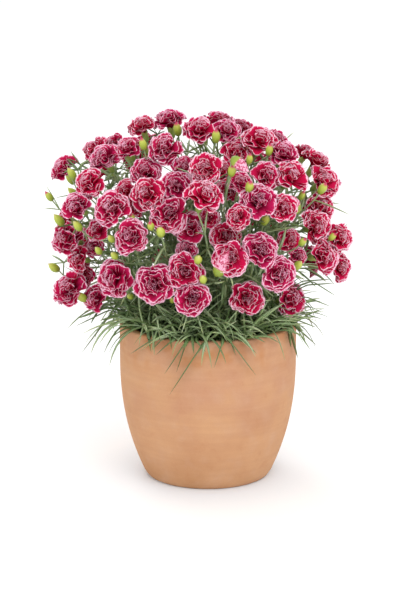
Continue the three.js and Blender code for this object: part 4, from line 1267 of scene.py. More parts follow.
RIM_LEAF_SHARE = 0.76
RIM_LEAF_PALEST = 0.4
BRANCH_PAIRS = (0.14, 0.32, 0.5, 0.67, 0.84)
STALK_PAIR = 0.55
STEM_PAIRS = (0.14, 0.3, 0.5, 0.6, 0.8, 0.92)
LEAF_CLEARANCE = 0.4
LEAF_FREE_START = 3
SMALL_PAIR_TILT = 0.3
SMALL_LEAF_LENGTHS = (24, 22)
SMALL_LEAF_AHEAD = 0.9
SMALL_LEAF_ASIDE = (0.5, 0.4)
SMALL_LEAF_SPREAD = 0.9
SMALL_LEAF_LIFT = (-0.25, 0.3)
SMALL_LEAF_WIDTHS = (0.75, 0.3)
STEM_LEAF_LENGTH, STEM_LEAF_SHORTENING = 66, 30
STEM_LEAF_SHARES = (0.75, 0.4)
STEM_LEAF_AHEAD = 0.35
STEM_LEAF_RISE = (25, 35)
STEM_LEAF_FALL = (-25, 65)
STEM_LEAF_WIDTHS = (0.85, 0.3)
THIN_STEM_RADII = (0.75, 0.15)
THIN_STEM_RINGS = (3, 9)
THIN_STEM_JOINT = 0.25
THIN_STEM_RUN = 40
THIN_STEM_ROOT = 6
SIDE_SHOOTS = 84
SIDE_SHOOT_PAIRS = 4
SIDE_SHOOT_RING = 78
SIDE_SHOOT_ROOTS = 0.88
SIDE_SHOOT_FIRST = 0.7
SIDE_SHOOT_LENGTHS = (16, 26)
SIDE_SHOOT_TURN_CHANGE = 0.3
SIDE_SHOOT_WAY_CHANGE = 0.7
SIDE_SHOOT_TILT, SIDE_SHOOT_TILT_LOSS = 74, 34
SIDE_FIRST_PAIR = 0.35
SIDE_RISE, SIDE_RISE_ABOVE, SIDE_RISE_CHANGE, SIDE_RISE_LOSS = 24, 34, 20, 18
SIDE_FALL, SIDE_FALL_OUTSIDE = (12, 38), 14
SIDE_LEAF_LENGTHS = (38, 34)
SIDE_LEAF_LOWEST, SIDE_LEAF_SHORTENING = 1.15, 0.4
SIDE_LEAF_WIDTHS = (0.8, 0.4)
SIDE_LEAF_LIFTS = (0, 0.16, 0.32, 0.5)


def clear_leaf(growth, root, way, end_way, length):
    """A leaf that sets out one way and ends another, or none where it would meet the pot or a head."""
    middle = root + unit(way) * (length / 2)
    curve = bezier(root, middle, middle + unit(end_way) * (length / 2))
    beads = beads_along(curve, [0.5])[LEAF_FREE_START:]
    if meets_pot(beads, LEAF_CLEARANCE) or growth.heads_room.meets_bloom(beads, LEAF_CLEARANCE, None):
        return None
    return curve


def add_small_pair(growth, limb, share, draw):
    """Two small leaves that stand out from a branch, one on each side."""
    root, ahead = limb(share), way_along(limb, share)
    turn = 2 * math.pi * draw()
    side = unit(np.cross(ahead, outward(turn, SMALL_PAIR_TILT)))
    length = drawn(draw, SMALL_LEAF_LENGTHS)
    for sign in (1, -1):
        way = ahead * SMALL_LEAF_AHEAD + side * (sign * drawn(draw, SMALL_LEAF_ASIDE))
        end_way = way + side * (sign * SMALL_LEAF_SPREAD) + UP * drawn(draw, SMALL_LEAF_LIFT)
        curve = clear_leaf(growth, root, way, end_way, length)
        if curve:
            width = LEAF_WIDTH * drawn(draw, SMALL_LEAF_WIDTHS)
            growth.add_curved_leaf(curve, width, draw, SMALL_LEAF_SPANS)


def add_stem_pair(growth, share, draw):
    """Two long leaves from a stem."""
    stem = growth.shoot.stem
    root, ahead = stem(share), way_along(stem, share)
    turn = 2 * math.pi * draw()
    for flip in (0, math.pi):
        length = (STEM_LEAF_LENGTH - STEM_LEAF_SHORTENING * share) * drawn(draw, STEM_LEAF_SHARES)
        way = outward(turn + flip, math.radians(drawn(draw, STEM_LEAF_RISE))) + ahead * STEM_LEAF_AHEAD
        end_turn = turn + flip + 0.5 * (draw() - 0.5)
        end_way = outward(end_turn, math.radians(drawn(draw, STEM_LEAF_FALL)))
        curve = clear_leaf(growth, root, way, end_way, length)
        if curve:
            growth.add_curved_leaf(curve, LEAF_WIDTH * drawn(draw, STEM_LEAF_WIDTHS), draw)


def add_thin_stem(growth, bloom, draw):
    """A flower's own stem, which goes on from its branch down to the soil beside the shoot's stem."""
    foot = growth.shoot.root + outward(2 * math.pi * draw()) * drawn(draw, THIN_STEM_RINGS)
    end, ahead = bloom.branch(THIN_STEM_JOINT), way_along(bloom.branch, THIN_STEM_JOINT)
    curve = bezier(foot - UP * THIN_STEM_ROOT, foot + UP * THIN_STEM_RUN, end - ahead * THIN_STEM_RUN, end)
    growth.add_limb(curve, drawn(draw, THIN_STEM_RADII), draw())


def grow_shoot(shoot, k, heads_room):
    """The lines and points of a shoot of the solids, and what it carries besides."""
    growth = Growth(shoot, heads_room)
    draw = draws_from(SHOOT_SEED + k)
    hub = shoot.knuckle.centre
    growth.add_limb(shoot.stem, SHOWN_STEM, draw(), before=[shoot.root - UP * SHOWN_ROOT], after=[hub])
    for bloom in shoot.blooms:
        growth.add_limb(bloom.branch, SHOWN_BRANCH, draw(), before=[hub])
        growth.add_point(CALYX, bloom.foot, bloom.radius, bloom.facing, tint=draw())
        add_thin_stem(growth, bloom, draw)
        for share in BRANCH_PAIRS:
            add_small_pair(growth, bloom.branch, share, draw)
    for bud in shoot.buds:
        growth.add_limb(bud.stalk, STALK_RADIUS, draw())
        growth.add_bud(bud.foot, bud.tip, draw())
        add_small_pair(growth, bud.stalk, STALK_PAIR, draw)
    for leaf in shoot.leaves:
        growth.add_curved_leaf(leaf.curve, leaf.width, draw)
    for share in STEM_PAIRS:
        add_stem_pair(growth, share, draw)
    for tuft in shoot.tufts:
        growth.add_limb(tuft.stalk, SHOWN_BRANCH, draw(), after=[tuft.knuckle.centre])
        for leaf in tuft.leaves:
            growth.add_curved_leaf(leaf.curve, leaf.width * RIM_LEAF_SHARE, draw, palest=RIM_LEAF_PALEST)
    return growth


def growth_near(growths, place):
    """The growth of the shoot whose root is nearest."""
    return nearest(growths, lambda growth: size((growth.shoot.root - place)[:2]))


def grow_side_shoot(growths, i):
    """A short leafy side shoot somewhere on the soil, each pair of leaves a quarter turn on from the last."""
    draw = draws_from(SIDE_SHOOT_SEED + i)
    turn = i * GOLDEN_TURN + SIDE_SHOOT_TURN_CHANGE * (draw() - 0.5)
    ring = SIDE_SHOOT_RING * math.sqrt((i + SIDE_SHOOT_FIRST) / SIDE_SHOOTS)
    root = outward(turn) * (ring * SIDE_SHOOT_ROOTS)
    root[2] = soil_level(ring * SIDE_SHOOT_ROOTS) - 3
    tilt = math.radians(SIDE_SHOOT_TILT - SIDE_SHOOT_TILT_LOSS * ring / SIDE_SHOOT_RING)
    way = outward(turn + SIDE_SHOOT_WAY_CHANGE * (draw() - 0.5), tilt)
    tip = root + way * drawn(draw, SIDE_SHOOT_LENGTHS)
    limb = bezier(root, root * 0.5 + tip * 0.5 + UP * 3, tip)
    growth = growth_near(growths, root)
    growth.add_limb(limb, SHOWN_BRANCH, draw())
    first = 2 * math.pi * draw()
    for p in range(SIDE_SHOOT_PAIRS + 1):
        share = SIDE_FIRST_PAIR + (1 - SIDE_FIRST_PAIR) * p / SIDE_SHOOT_PAIRS
        for flip in (0, math.pi):
            leaf_turn = first + p * math.pi / 2 + flip + 0.5 * (draw() - 0.5)
            outside = max(0, math.cos(leaf_turn - turn) * ring / SIDE_SHOOT_RING)
            rise = SIDE_RISE + SIDE_RISE_ABOVE * share * draw() + SIDE_RISE_CHANGE * draw()
            rise = math.radians(rise - SIDE_RISE_LOSS * outside)
            fall = rise - math.radians(drawn(draw, SIDE_FALL) + SIDE_FALL_OUTSIDE * outside)
            length = drawn(draw, SIDE_LEAF_LENGTHS) * (SIDE_LEAF_LOWEST - SIDE_LEAF_SHORTENING * share)
            tries = (clear_leaf(growth, limb(share), outward(leaf_turn, rise + lift),
                                outward(leaf_turn, fall + lift), length) for lift in SIDE_LEAF_LIFTS)
            curve = next((each for each in tries if each), None)
            if curve:
                growth.add_curved_leaf(curve, LEAF_WIDTH * drawn(draw, SIDE_LEAF_WIDTHS), draw)


# Leaves, twigs and buds given in millimetres as seen from the front, from the rim's middle

FRONT_LEAVES = [
    (-89, 19, -129, -35), (-98, 11, -135, -7), (-101, 14, -133, 1), (-83, 9, -110, -1),
    (-78, -1, -96, -13), (-61, -3, -58, -32), (-62, -24, -79, -35), (-43, -16, -57, -31),
    (-36, -21, -53, -36), (-18, -16, -44, -55), (-23, -26, -32, -53), (-6, -26, -39, -76),
    (-12, -21, -2, -33), (16, -19, 6, -49), (22, -19, 28, -36), (9, -4, 49, -57),
    (32, -18, 50, -35), (47, -17, 58, -23), (59, -16, 73, -24), (82, -6, 84, -28),
    (82, -3, 91, -39), (85, -1, 104, -31), (88, -6, 110, -26), (92, -1, 110, -8),
    (95, 7, 117, 0), (97, 24, 125, 13), (104, 40, 131, 23), (100, 35, 128, 37),
    (95, 39, 126, 41), (-90, 22, -126, 8),
]
FRONT_LEAF_POINTS = 14
FRONT_TWIST = 0.8
FRONT_WIDTHS = (1.05, 0.35)
FRONT_PALEST = 0.6
WALL_GAP = 5
SIDE_DEPTH = -26
OVER_RIM = 4
INSIDE_REACH = 20
START_STEP, RIM_STEP = 0.1, 0.02
ROOT_RING, ROOT_SINK = 58, 4
BRIDGE_FROM, BRIDGE_RING, BRIDGE_RISE, BRIDGE_DROP = 78, 72, 10, 6
TWIG_LEAVES = [(-153, 126, -164, 136), (-148, 122, -167, 112), (78, 178, 88, 191), (123, 103, 144, 106),
               (141, 82, 149, 79), (-142, 128, -138, 142)]
TWIG_SHARES = (0.3, 0.45, 0.6, 0.75, 0.9)
TWIG_TUFTS = [(-90, 153), (-99, 134), (-129, 157), (-21, 170), (-146, 58), (-120, 93), (-84, 101), (70, 150),
              (-112, 53), (-113, 57), (103, 138), (85, 131), (-104, 141), (-92, 147), (-132, 152),
              (-51, 188), (98, 90), (-117, 112), (-57, 64), (-56, 73), (-68, 66), (-74, 59)]
TWIG_TUFT_LEAVES = 7
TWIG_TUFT_DEPTH = 8
TWIG_LEAF_WIDTHS = (0.55, 0.2)
TUFT_LEAF_START, TUFT_LEAF_DROOP = 9, 5
TUFT_LEAF_LENGTHS = (15, 9)
TUFT_LEAF_RISE = (-20, 80)
TUFT_LEAF_WIDTHS = (0.6, 0.25)
HALF_OPEN = [(24, 164, 40, 151), (91, 111, 84, 125), (9, 45, 20, 67)]
HALF_OPEN_TINT = 2.0
HALF_OPEN_FOOT, HALF_OPEN_TIP = 5, 12
MISSED_BUD_JOINT = 0.4
MISSED_BUD_PAIR = 0.6
MISSED_BUD_RUN_OUT = 0.25


def at_depth(across, up, depth):
    """The point at a depth that lies in line with a place seen from the front."""
    line = RIM_CENTRE + vec(across, 0, 0) + SIGHT_UP * up - VIEWPOINT
    return VIEWPOINT + line * ((depth - VIEWPOINT[1]) / line[1])


def in_line(across, up, ring):
    """The same at a ring round the axis, or beside the pot."""
    return at_depth(across, up, -math.sqrt(ring**2 - across**2) if abs(across) < ring - 4 else SIDE_DEPTH)


def front_leaf(row):
    """A leaf from the soil inside the rim and over it, which looks straight from the front."""
    outside = RIM_RADIUS + WALL_GAP

    def place(share, ring):
        return in_line(row[0] + (row[2] - row[0]) * share, row[1] + (row[3] - row[1]) * share, ring)

    start = 0.0
    while place(start, outside)[2] < POT_HEIGHT + OVER_RIM:
        start -= START_STEP
    at_rim = start
    while at_rim < 1 and place(at_rim, outside)[2] > POT_HEIGHT + OVER_RIM:
        at_rim += RIM_STEP
    shares = np.linspace(start, 1, FRONT_LEAF_POINTS)
    inside = np.clip((at_rim - shares) / max(at_rim - start, START_STEP), 0, 1)
    points = [place(share, outside - INSIDE_REACH * back) for share, back in zip(shares, inside)]
    x, y, z = points[0]
    ring = math.hypot(x, y)
    if ring > BRIDGE_FROM:
        bridge_height = max(POT_HEIGHT + BRIDGE_RISE, z - BRIDGE_DROP)
        points.insert(0, vec(x * BRIDGE_RING / ring, y * BRIDGE_RING / ring, bridge_height))
    points.insert(0, vec(x * ROOT_RING / ring, y * ROOT_RING / ring, SOIL_TOP - ROOT_SINK))
    for _ in range(2):
        points[1:-1] = [(a + 2 * b + c) / 4 for a, b, c in zip(points, points[1:], points[2:])]
    return points


def grow_front_leaf(growths, row, k):
    """A leaf over the rim that follows one of the photo's."""
    draw = draws_from(FRONT_LEAF_SEED + k)
    points = front_leaf(row)
    width = LEAF_WIDTH * drawn(draw, FRONT_WIDTHS)
    twist = FRONT_TWIST * (draw() - 0.5)
    growth_near(growths, points[0]).add_leaf(points, width, twist, FRONT_PALEST + (1 - FRONT_PALEST) * draw())


def grow_missed_bud(growths, bud, k):
    """A bud that the solids have no room for, on a thin stalk from the nearest flower's branch."""
    draw = draws_from(MISSED_BUD_SEED + k)
    length = BUD_LENGTH * drawn(draw, BUD_SCALES)
    foot = bud.point - bud.facing * (length / 2)
    hosts = [(growth, bloom) for growth in growths for bloom in growth.shoot.blooms]
    growth, host = nearest(hosts, lambda each: size(each[1].foot - foot))
    start, ahead = host.branch(MISSED_BUD_JOINT), way_along(host.branch, MISSED_BUD_JOINT)
    reach = size(foot - start)
    stalk = bezier(start, start + ahead * (MISSED_BUD_RUN_OUT * reach),
                   foot - bud.facing * (STALK_RUN_IN * reach), foot)
    growth.add_limb(stalk, STALK_RADIUS, draw())
    growth.add_point(BUD, foot, length, bud.facing, tint=draw())
    add_small_pair(growth, stalk, MISSED_BUD_PAIR, draw)


def twig_near(growths, across, up):
    """The growth and the point of the branch or stalk that looks nearest to a place from the front."""
    starts = [(growth, limb(share)) for growth in growths
              for limb in [*(bloom.branch for bloom in growth.shoot.blooms),
                           *(bud.stalk for bud in growth.shoot.buds)]
              for share in TWIG_SHARES]
    return nearest(starts, lambda each: size(at_depth(across, up, each[1][1]) - each[1]))


def grow_twig_leaf(growths, row, k):
    """A small leaf from a twig, drawn from root to tip."""
    draw = draws_from(TWIG_LEAF_SEED + k)
    growth, start = twig_near(growths, row[0], row[1])
    tip = at_depth(row[2], row[3], start[1])
    curve = bezier(start, start * 0.5 + tip * 0.5 + UP * 2, tip)
    growth.add_curved_leaf(curve, LEAF_WIDTH * drawn(draw, TWIG_LEAF_WIDTHS), draw)


def grow_twig_tuft(growths, place, k):
    """A tuft of young leaves on a short twig."""
    draw = draws_from(TWIG_TUFT_SEED + k)
    growth, start = twig_near(growths, *place)
    end = at_depth(*place, start[1] + TWIG_TUFT_DEPTH)
    growth.add_limb(bezier(start, start * 0.5 + end * 0.5 + UP * 2, end), STALK_RADIUS, draw())
    for n in range(TWIG_TUFT_LEAVES):
        way = outward(n * GOLDEN_TURN + draw(), math.radians(drawn(draw, TUFT_LEAF_RISE)))
        tip = end + way * drawn(draw, TUFT_LEAF_LENGTHS) - UP * (TUFT_LEAF_DROOP * draw())
        curve = bezier(end, end + way * TUFT_LEAF_START, tip)
        width = LEAF_WIDTH * drawn(draw, TUFT_LEAF_WIDTHS)
        growth.add_curved_leaf(curve, width, draw, SMALL_LEAF_SPANS)


def grow_half_open(growths, row, k):
    """A half-open bloom, its petals still rolled, from foot to tip."""
    draw = draws_from(HALF_OPEN_SEED + k)
    buds = [(growth, bud) for growth in growths for bud in growth.shoot.buds]
    growth, bud = nearest(buds, lambda each: size(at_depth(row[0], row[1], each[1].tip[1]) - each[1].tip))
    foot = at_depth(row[0], row[1], bud.tip[1] - HALF_OPEN_FOOT)
    tip = at_depth(row[2], row[3], bud.tip[1] - HALF_OPEN_TIP)
    start = bud.stalk(0.5)
    growth.add_limb(bezier(start, start * 0.5 + foot * 0.5 - UP * 3, foot), STALK_RADIUS, draw())
    growth.add_bud(foot, tip, HALF_OPEN_TINT)


def leaf_material():
    """Dianthus leaf, smooth under a waxy bloom: grey-green, with a pale midrib and a yellower tip."""
    material, tree = new_material("waxy leaf")
    along, across, tint = (add(tree, ATTRIBUTE, output="Fac", attribute_name=name)
                           for name in ("along", "across", "tint"))
    place = add(tree, COORDINATES, output="Object")
    bloom = add(tree, NOISE, [place, 1 / (12 * MM), 2])
    rib = add(tree, MATH, [across], operation="ABSOLUTE")
    green = add(tree, RAMP, [along],
                stops=[(0.0, "#88A050"), (0.25, "#A2BC78"), (0.7, "#AAC48A"), (1.0, "#C0C684")])
    color = wash(tree, green, (bloom, 0.4, 0.7, 0.55, "#C6D6BC"), (rib, 0.25, 0.04, 0.5, "#E0EACE"),
                 (tint, 0.2, 1.0, 0.9, "#48662C"))
    return set_finish(material, color, {"Roughness": 0.5, "IOR": 1.42})


def stem_material():
    """Dianthus stem: grey-green and waxy, fresher above."""
    material, tree = new_material("waxy stem")
    along = add(tree, ATTRIBUTE, output="Fac", attribute_name="along")
    place = add(tree, COORDINATES, output="Object")
    bloom = add(tree, NOISE, [place, 1 / (6 * MM), 3])
    green = add(tree, RAMP, [along], stops=[(0.0, "#8A9C74"), (1.0, "#9AAE78")])
    color = wash(tree, green, (bloom, 0.4, 0.7, 0.6, "#7F967F"))
    return set_finish(material, color, {"Roughness": 0.5, "IOR": 1.42})


def sleeve_material():
    """Calyx: smooth yellow-green, with browner teeth."""
    material, tree = new_material("calyx")
    rise, tint = (add(tree, ATTRIBUTE, output="Fac", attribute_name=name) for name in ("rise", "tint"))
    green = add(tree, RAMP, [rise],
                stops=[(0.0, "#7F9A4C"), (0.6, "#9DB354"), (0.88, "#B9C46A"), (1.0, "#C4B184")])
    color = wash(tree, green, (tint, 0.0, 1.0, 0.5, "#7C9450"))
    return set_finish(material, color, {"Roughness": 0.45, "IOR": 1.42})


RIPE_FROM = 0.65
HALF_OPEN_FROM = 1.5


def shell_material():
    """Bud: bright yellow-green, a ripe one with a crimson point, a half-open one with rolled petals."""
    material, tree = new_material("bud shell")
    rise, tint = (add(tree, ATTRIBUTE, output="Fac", attribute_name=name) for name in ("rise", "tint"))
    place = add(tree, COORDINATES, output="Object")
    mottle = add(tree, NOISE, [place, 1 / (2 * MM), 2])
    green = add(tree, RAMP, [rise],
                stops=[(0.0, "#7C903A"), (0.4, "#A2B440"), (0.8, "#C2CA58"), (1.0, "#D8CC98")])
    ripe = wash(tree, green, (rise, 0.72, 0.86, 1.0, "#C23A5F"))
    rolled = wash(tree, "#C03A66", (mottle, 0.42, 0.58, 1.0, "#F4B8CE"))
    half_open = wash(tree, green, (rise, 0.3, 0.36, 1.0, rolled))
    color = green
    for least, opened in ((RIPE_FROM, ripe), (HALF_OPEN_FROM, half_open)):
        is_open = add(tree, MATH, [tint, least], operation="GREATER_THAN")
        color = add(tree, MIX, [is_open, color, opened], data_type="RGBA")
    return set_finish(material, color, {"Roughness": 0.42, "IOR": 1.42})


def make_stems_and_leaves(shoots, blooms, missed_buds):
    """A piece for each shoot, its limbs, leaves, calyxes and buds made by Geometry Nodes."""
    section = make_mesh("section", [(x / MM, y / MM, 0) for x, y in LEAF_SECTION],
                        [(k, (k + 1) % len(LEAF_SECTION)) for k in range(len(LEAF_SECTION))],
                        across=[float(x) for x, y in LEAF_SECTION])
    shapes = store("shapes", [section, calyx_mesh(), bud_mesh()]).objects
    settings = {"Sides": LIMB_SIDES, "Section": shapes["section"], "Calyx": shapes["calyx"],
                "Bud": shapes["bud"], "Stem": stem_material(), "Leaf": leaf_material(),
                "Sleeve": sleeve_material(), "Shell": shell_material()}
    heads_room = Room(blooms)
    growths = [grow_shoot(shoot, k, heads_room) for k, shoot in enumerate(shoots)]
    for grow, places in ((grow_missed_bud, missed_buds), (grow_half_open, HALF_OPEN),
                         (grow_twig_leaf, TWIG_LEAVES), (grow_twig_tuft, TWIG_TUFTS)):
        for k, place in enumerate(places):
            grow(growths, place, k)
    for i in range(SIDE_SHOOTS):
        grow_side_shoot(growths, i)
    for k, row in enumerate(FRONT_LEAVES):
        grow_front_leaf(growths, row, k)
    tree = shoot_tree()
    for k, growth in enumerate(growths):
        name = f"stems_and_leaves_{k + 1:02d}"
        put(name, grown(name, growth.mesh("shoot"), tree, settings), "stems_and_leaves", f"shoot_{k + 1:02d}")


# Pot and soil

WALL_TOP = 124
FOOT_RADIUS = 63
WALL_CURVE = 2.3
POT_SIDES = 112
POT_STEPS, INNER_STEPS, CORNER_STEPS = 34, 20, 3
WALL_START = 6
FOOT_INSET = 6
CORNER = 8
FOOT_ROUND = 2.5
RIM_ROUND = 2.4
DRAIN_RADIUS = 6
DRAIN_RING = 26
DRAIN_COUNT = 3
DRAIN_SIDES = 24
DRILL_OVER = 3
SOIL_GAP = 0.4
SOIL_SIDES = 64
SOIL_RINGS = 24
SOIL_FOOT = 0.5
SOIL_SIDE_HEIGHTS = (20, 60, 100)
SOIL_SIDE_TOP = 120
SOIL_MIDDLE = 0.04
LUMPS, LUMP_HEIGHT = 14, 0.35
LUMP_RATES = (-0.25, 0.5)
CRUMB_SLOPE, CRUMB_LEVEL = 0.4, 130 * MM
CRUMB_TURN = 6.3
CRUMB_SEED, CRUMB_SIZE_SEED = 3, 5
CRUMB_SIZES = 0.5 * MM, 1.8 * MM
CRUMBS_PER_SQUARE_METRE = 26000.0


def wall_radius(z):
    return RIM_RADIUS - (RIM_RADIUS - FOOT_RADIUS) * max(0, 1 - z / WALL_TOP) ** WALL_CURVE


def rounded(corner, before, after, radius):
    """A rounded corner of a profile."""
    corner, before, after = (np.array(each, dtype=float) for each in (corner, before, after))
    start, end = corner + unit(before - corner) * radius, corner + unit(after - corner) * radius
    return [tuple(point) for point in steps_along(bezier(start, corner, end), CORNER_STEPS)]


def drain_drill():
    """The shape of the drain holes."""
    points, faces = [], []
    corners = [(0, -DRILL_OVER), (DRAIN_RADIUS, -DRILL_OVER),
               (DRAIN_RADIUS, POT_FLOOR + DRILL_OVER), (0, POT_FLOOR + DRILL_OVER)]
    for i in range(DRAIN_COUNT):
        place = outward(2 * math.pi * i / DRAIN_COUNT + math.pi / 2) * DRAIN_RING
        hole, sides = lathe(corners, DRAIN_SIDES)
        faces += [tuple(len(points) + corner for corner in face) for face in sides]
        points += [np.array(point) + place for point in hole]
    return fix_sides(make_mesh("drill", points, faces=faces))


def make_pot():
    """The pot is thrown: its wall swells from a narrow foot, and its rim is wiped round."""
    inside = RIM_RADIUS - POT_WALL
    outer = [(wall_radius(z), z) for z in np.linspace(WALL_START, POT_HEIGHT - CORNER, POT_STEPS)]
    inner = [(wall_radius(z) - POT_WALL, z)
             for z in np.linspace(POT_HEIGHT - CORNER, POT_FLOOR + 4, INNER_STEPS)]
    profile = [(0, 0), (BASE_RADIUS - FOOT_INSET, 0),
               *rounded((wall_radius(0) - 1, 0), (0, 0), outer[0], FOOT_ROUND), *outer,
               *rounded((RIM_RADIUS, POT_HEIGHT), outer[-1], (inside, POT_HEIGHT), RIM_ROUND),
               *rounded((inside, POT_HEIGHT), (RIM_RADIUS, POT_HEIGHT), inner[0], RIM_ROUND),
               *inner, (wall_radius(POT_FLOOR) - POT_WALL - 3, POT_FLOOR), (0, POT_FLOOR)]
    points, faces = lathe(profile, POT_SIDES)
    pot = show("pot work", fix_sides(make_mesh("pot", points, faces=faces)))
    drill = show("drill", drain_drill())
    cut = pot.modifiers.new("drain holes", "BOOLEAN")
    cut.operation, cut.object, cut.solver = "DIFFERENCE", drill, "EXACT"
    mesh = plain_mesh(pot)
    bpy.data.objects.remove(drill)
    mesh.shade_smooth()
    mesh.set_sharp_from_angle(angle=POT_SHARP_EDGE)
    mesh.materials.clear()
    mesh.materials.append(terracotta_material())
    return mesh


def soil_mesh():
    """The lumpy top of the soil, then its sides and foot, as rings."""
    draw = draws_from(SOIL_SEED)
    waves = [(drawn(draw, LUMP_RATES), drawn(draw, LUMP_RATES), PHASES * draw()) for _ in range(LUMPS)]
    room = RIM_RADIUS - POT_WALL - SOIL_GAP
    foot = POT_FLOOR + SOIL_FOOT
    profile = [(0, foot), (wall_radius(POT_FLOOR) - POT_WALL - 4, foot)]
    profile += [(wall_radius(z) - POT_WALL - SOIL_GAP, z) for z in SOIL_SIDE_HEIGHTS]
    profile += [(room * share, soil_level(room * share)) for share in np.linspace(1, SOIL_MIDDLE, SOIL_RINGS)]
    profile.append((0, soil_level(0)))

    def wave(ring, height, turn):
        if height < SOIL_SIDE_TOP or ring >= room:
            return ring, height
        x, y = ring * math.cos(turn), ring * math.sin(turn)
        return ring, height + sum(math.sin(a * x + b * y + c) for a, b, c in waves) * LUMP_HEIGHT

    points, faces = lathe(profile, SOIL_SIDES, wave)
    return fix_sides(make_mesh("ground", points, faces=faces))


def crumb_tree():
    """Crumbs strewn over the top of the soil."""
    tree, given = new_tree("crumbs", Density="Float", Least="Float", Most="Float", Seed="Int",
                           Finish="Material")
    up, height = (add(tree, "ShaderNodeSeparateXYZ", [add(tree, kind)], output="Z")
                  for kind in ("GeometryNodeInputNormal", "GeometryNodeInputPosition"))
    level, high = (add(tree, MATH, [value, least], operation="GREATER_THAN")
                   for value, least in ((up, CRUMB_SLOPE), (height, CRUMB_LEVEL)))
    top = add(tree, MATH, [level, high], operation="MULTIPLY")
    spots = add(tree, "GeometryNodeDistributePointsOnFaces",
                {"Mesh": given["Geometry"], "Selection": top, "Density": given["Density"],
                 "Seed": given["Seed"]})
    crumb = add(tree, "GeometryNodeMeshIcoSphere", [1.0, 1])
    turn = add(tree, RANDOM_VALUE, {"Max": (CRUMB_TURN,) * 3, "Seed": given["Seed"]},
               data_type="FLOAT_VECTOR")
    least, most = (add(tree, "ShaderNodeCombineXYZ", [given[label]] * 3) for label in ("Least", "Most"))
    scale = add(tree, RANDOM_VALUE, {"Min": least, "Max": most, "Seed": CRUMB_SIZE_SEED},
                data_type="FLOAT_VECTOR")
    crumbs = add(tree, "GeometryNodeInstanceOnPoints",
                 {"Points": spots, "Instance": crumb, "Scale": scale,
                  "Rotation": add(tree, "FunctionNodeEulerToRotation", [turn])})
    parts = add(tree, "GeometryNodeJoinGeometry", [[given["Geometry"], crumbs]])
    return end_tree(tree, parts, [(given["Finish"], True)])


def make_soil():
    """The soil, with crumbs on its top."""
    least, most = CRUMB_SIZES
    settings = {"Density": CRUMBS_PER_SQUARE_METRE, "Least": least, "Most": most, "Seed": CRUMB_SEED,
                "Finish": soil_material()}
    return grown("crumbly_soil", soil_mesh(), crumb_tree(), settings)


def terracotta_material():
    """Unglazed terracotta, thrown and fired: dry and matt, with faint rings, salt bloom and rosy patches."""
    material, tree = new_material("terracotta")
    place = add(tree, COORDINATES, output="Object")
    rings = add(tree, "ShaderNodeMapping", {"Vector": place, "Scale": (0.06, 0.06, 1)})
    wide = add(tree, NOISE, [place, 1 / (45 * MM), 3])
    patches = add(tree, NOISE, [place, 1 / (18 * MM), 4, 0.6])
    thrown = add(tree, NOISE, [rings, 1 / (5 * MM), 3])
    grain = add(tree, NOISE, [place, 1 / (0.9 * MM), 2])
    stains = add(tree, NOISE, [place, 1 / (22 * MM), 2])
    height = add(tree, "ShaderNodeSeparateXYZ", [place], output="Z")
    damp = [add(tree, RANGE, limits) for limits in ([height, 118 * MM, 150 * MM], [stains, 0.5, 0.68])]
    damp = add(tree, MATH, damp, operation="MULTIPLY")
    color = wash(tree, "#C08E64",
                 (height, 10 * MM, 110 * MM, 1.0, "#C69474"),
                 (wide, 0.35, 0.65, 1.0, "#CE9E76"),
                 (patches, 0.5, 0.72, 0.35, "#CCA48A"),
                 (patches, 0.42, 0.25, 0.35, "#B87A52"),
                 (thrown, 0.35, 0.65, 0.16, "#AF7C5A"),
                 (grain, 0.3, 0.7, 0.12, "#A06E50"),
                 (damp, 0.0, 1.0, 0.6, "#B86E34"))
    relief = add(tree, MATH, [add(tree, MATH, [noise, share], operation="MULTIPLY")
                              for noise, share in ((thrown, 0.8), (grain, 0.25))], operation="ADD")
    bump = add(tree, "ShaderNodeBump", {"Height": relief, "Strength": 0.25, "Distance": 0.6 * MM})
    return set_finish(material, color, {"Roughness": 0.92, "Specular IOR Level": 0.3}, bump)


def soil_material():
    """Peaty potting mix: dark and damp, in crumbs, with a few paler bits of bark."""
    material, tree = new_material("potting mix")
    place = add(tree, COORDINATES, output="Object")
    bits, crumbs = (add(tree, NOISE, [place, 1 / (width * MM), 4, 0.7]) for width in (2.2, 1.4))
    color = add(tree, RAMP, [bits], stops=[(0.3, "#15100C"), (0.5, "#2C2119"), (0.72, "#5A4632")])
    bump = add(tree, "ShaderNodeBump", {"Height": crumbs, "Strength": 0.8, "Distance": 1.0 * MM})
    return set_finish(material, color, {"Roughness": 0.95}, bump)


# Floor, light and camera

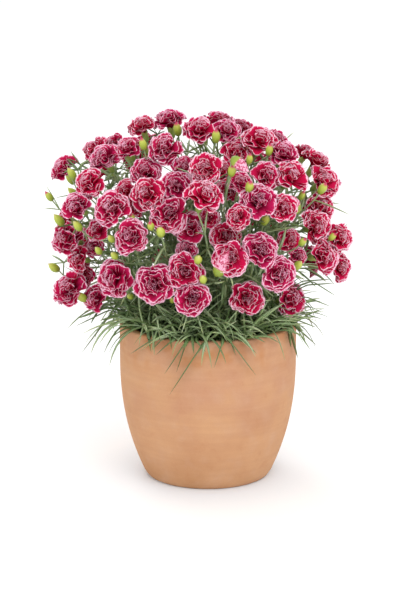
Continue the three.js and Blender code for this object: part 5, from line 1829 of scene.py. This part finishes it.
FLOOR_HALF = 9000
# Where the floor's painted cool shade round the pot's foot fades out to white, in metres
SHADE_NEAR, SHADE_FAR = 0.07, 0.13
WORLD_LIGHT = 1.0
LAMPS = [("front light", (0.8, -2.2, 2.3), 2.4, 31), ("back light", (-1.0, 1.8, 2.0), 1.5, 14)]
LAMP_AIM = (0, 0, 0.2)
CAMERA_PLACE = (-7.6, -2300, 750)
CAMERA_AIM = (-7.6, 0, 180)
CAMERA_LENS = 140.4
CAMERA_FAR = 20


def look_along(item, line):
    """Turns a lamp or a camera to look along a line."""
    item.rotation_euler = line.to_track_quat("-Z", "Y").to_euler()


def make_camera():
    """The camera stands where the photo was taken from."""
    data = bpy.data.cameras.new("camera")
    data.lens = CAMERA_LENS
    data.clip_end = CAMERA_FAR
    camera = show("camera", data)
    camera.location = Vector(CAMERA_PLACE) * MM
    look_along(camera, Vector(CAMERA_AIM) - Vector(CAMERA_PLACE))
    bpy.context.scene.camera = camera


def make_floor():
    """A white floor that runs off to white, a little cooler under the pot, where a cool shade is painted
    round its foot.
    """
    material, tree = new_material("white floor")
    place = add(tree, COORDINATES, output="Object")
    away = add(tree, "ShaderNodeVectorMath", [place], operation="LENGTH")
    # painted shade: a pale cool blue near the pot's foot, fading to white further out, tints the pot's
    # contact shadow
    color = wash(tree, "#F0F8FF", (away, SHADE_NEAR, SHADE_FAR, 1.0, "#FFFFFF"))
    corners = [(x * FLOOR_HALF, y * FLOOR_HALF, 0) for x, y in ((-1, -1), (1, -1), (1, 1), (-1, 1))]
    mesh = make_mesh("floor", corners, faces=[(0, 1, 2, 3)])
    mesh.materials.append(set_finish(material, color, {"Roughness": 0.9}))
    show("floor", mesh)


def make_light():
    """Soft light all round, and two broad lamps."""
    world = bpy.data.worlds.new("studio")
    world.use_nodes = True
    background = world.node_tree.nodes["Background"]
    background.inputs["Color"].default_value = srgb("#FFFFFF")
    background.inputs["Strength"].default_value = WORLD_LIGHT
    bpy.context.scene.world = world
    for name, place, reach, power in LAMPS:
        data = bpy.data.lights.new(name, "AREA")
        data.size, data.energy = reach, power
        lamp = show(name, data)
        lamp.location = place
        look_along(lamp, Vector(LAMP_AIM) - Vector(place))
    bpy.context.scene.view_settings.view_transform = "Standard"


# The plant in its pot

make_camera()
shoots, bunches, missed_buds = plan_plant()
make_carnations(bunches)
make_stems_and_leaves(shoots, [bloom for bunch in bunches for bloom in bunch], missed_buds)
put("terracotta_pot", make_pot(), "terracotta", "pot")
put("crumbly_soil", make_soil(), "potting_mix", "soil")
make_floor()
make_light()
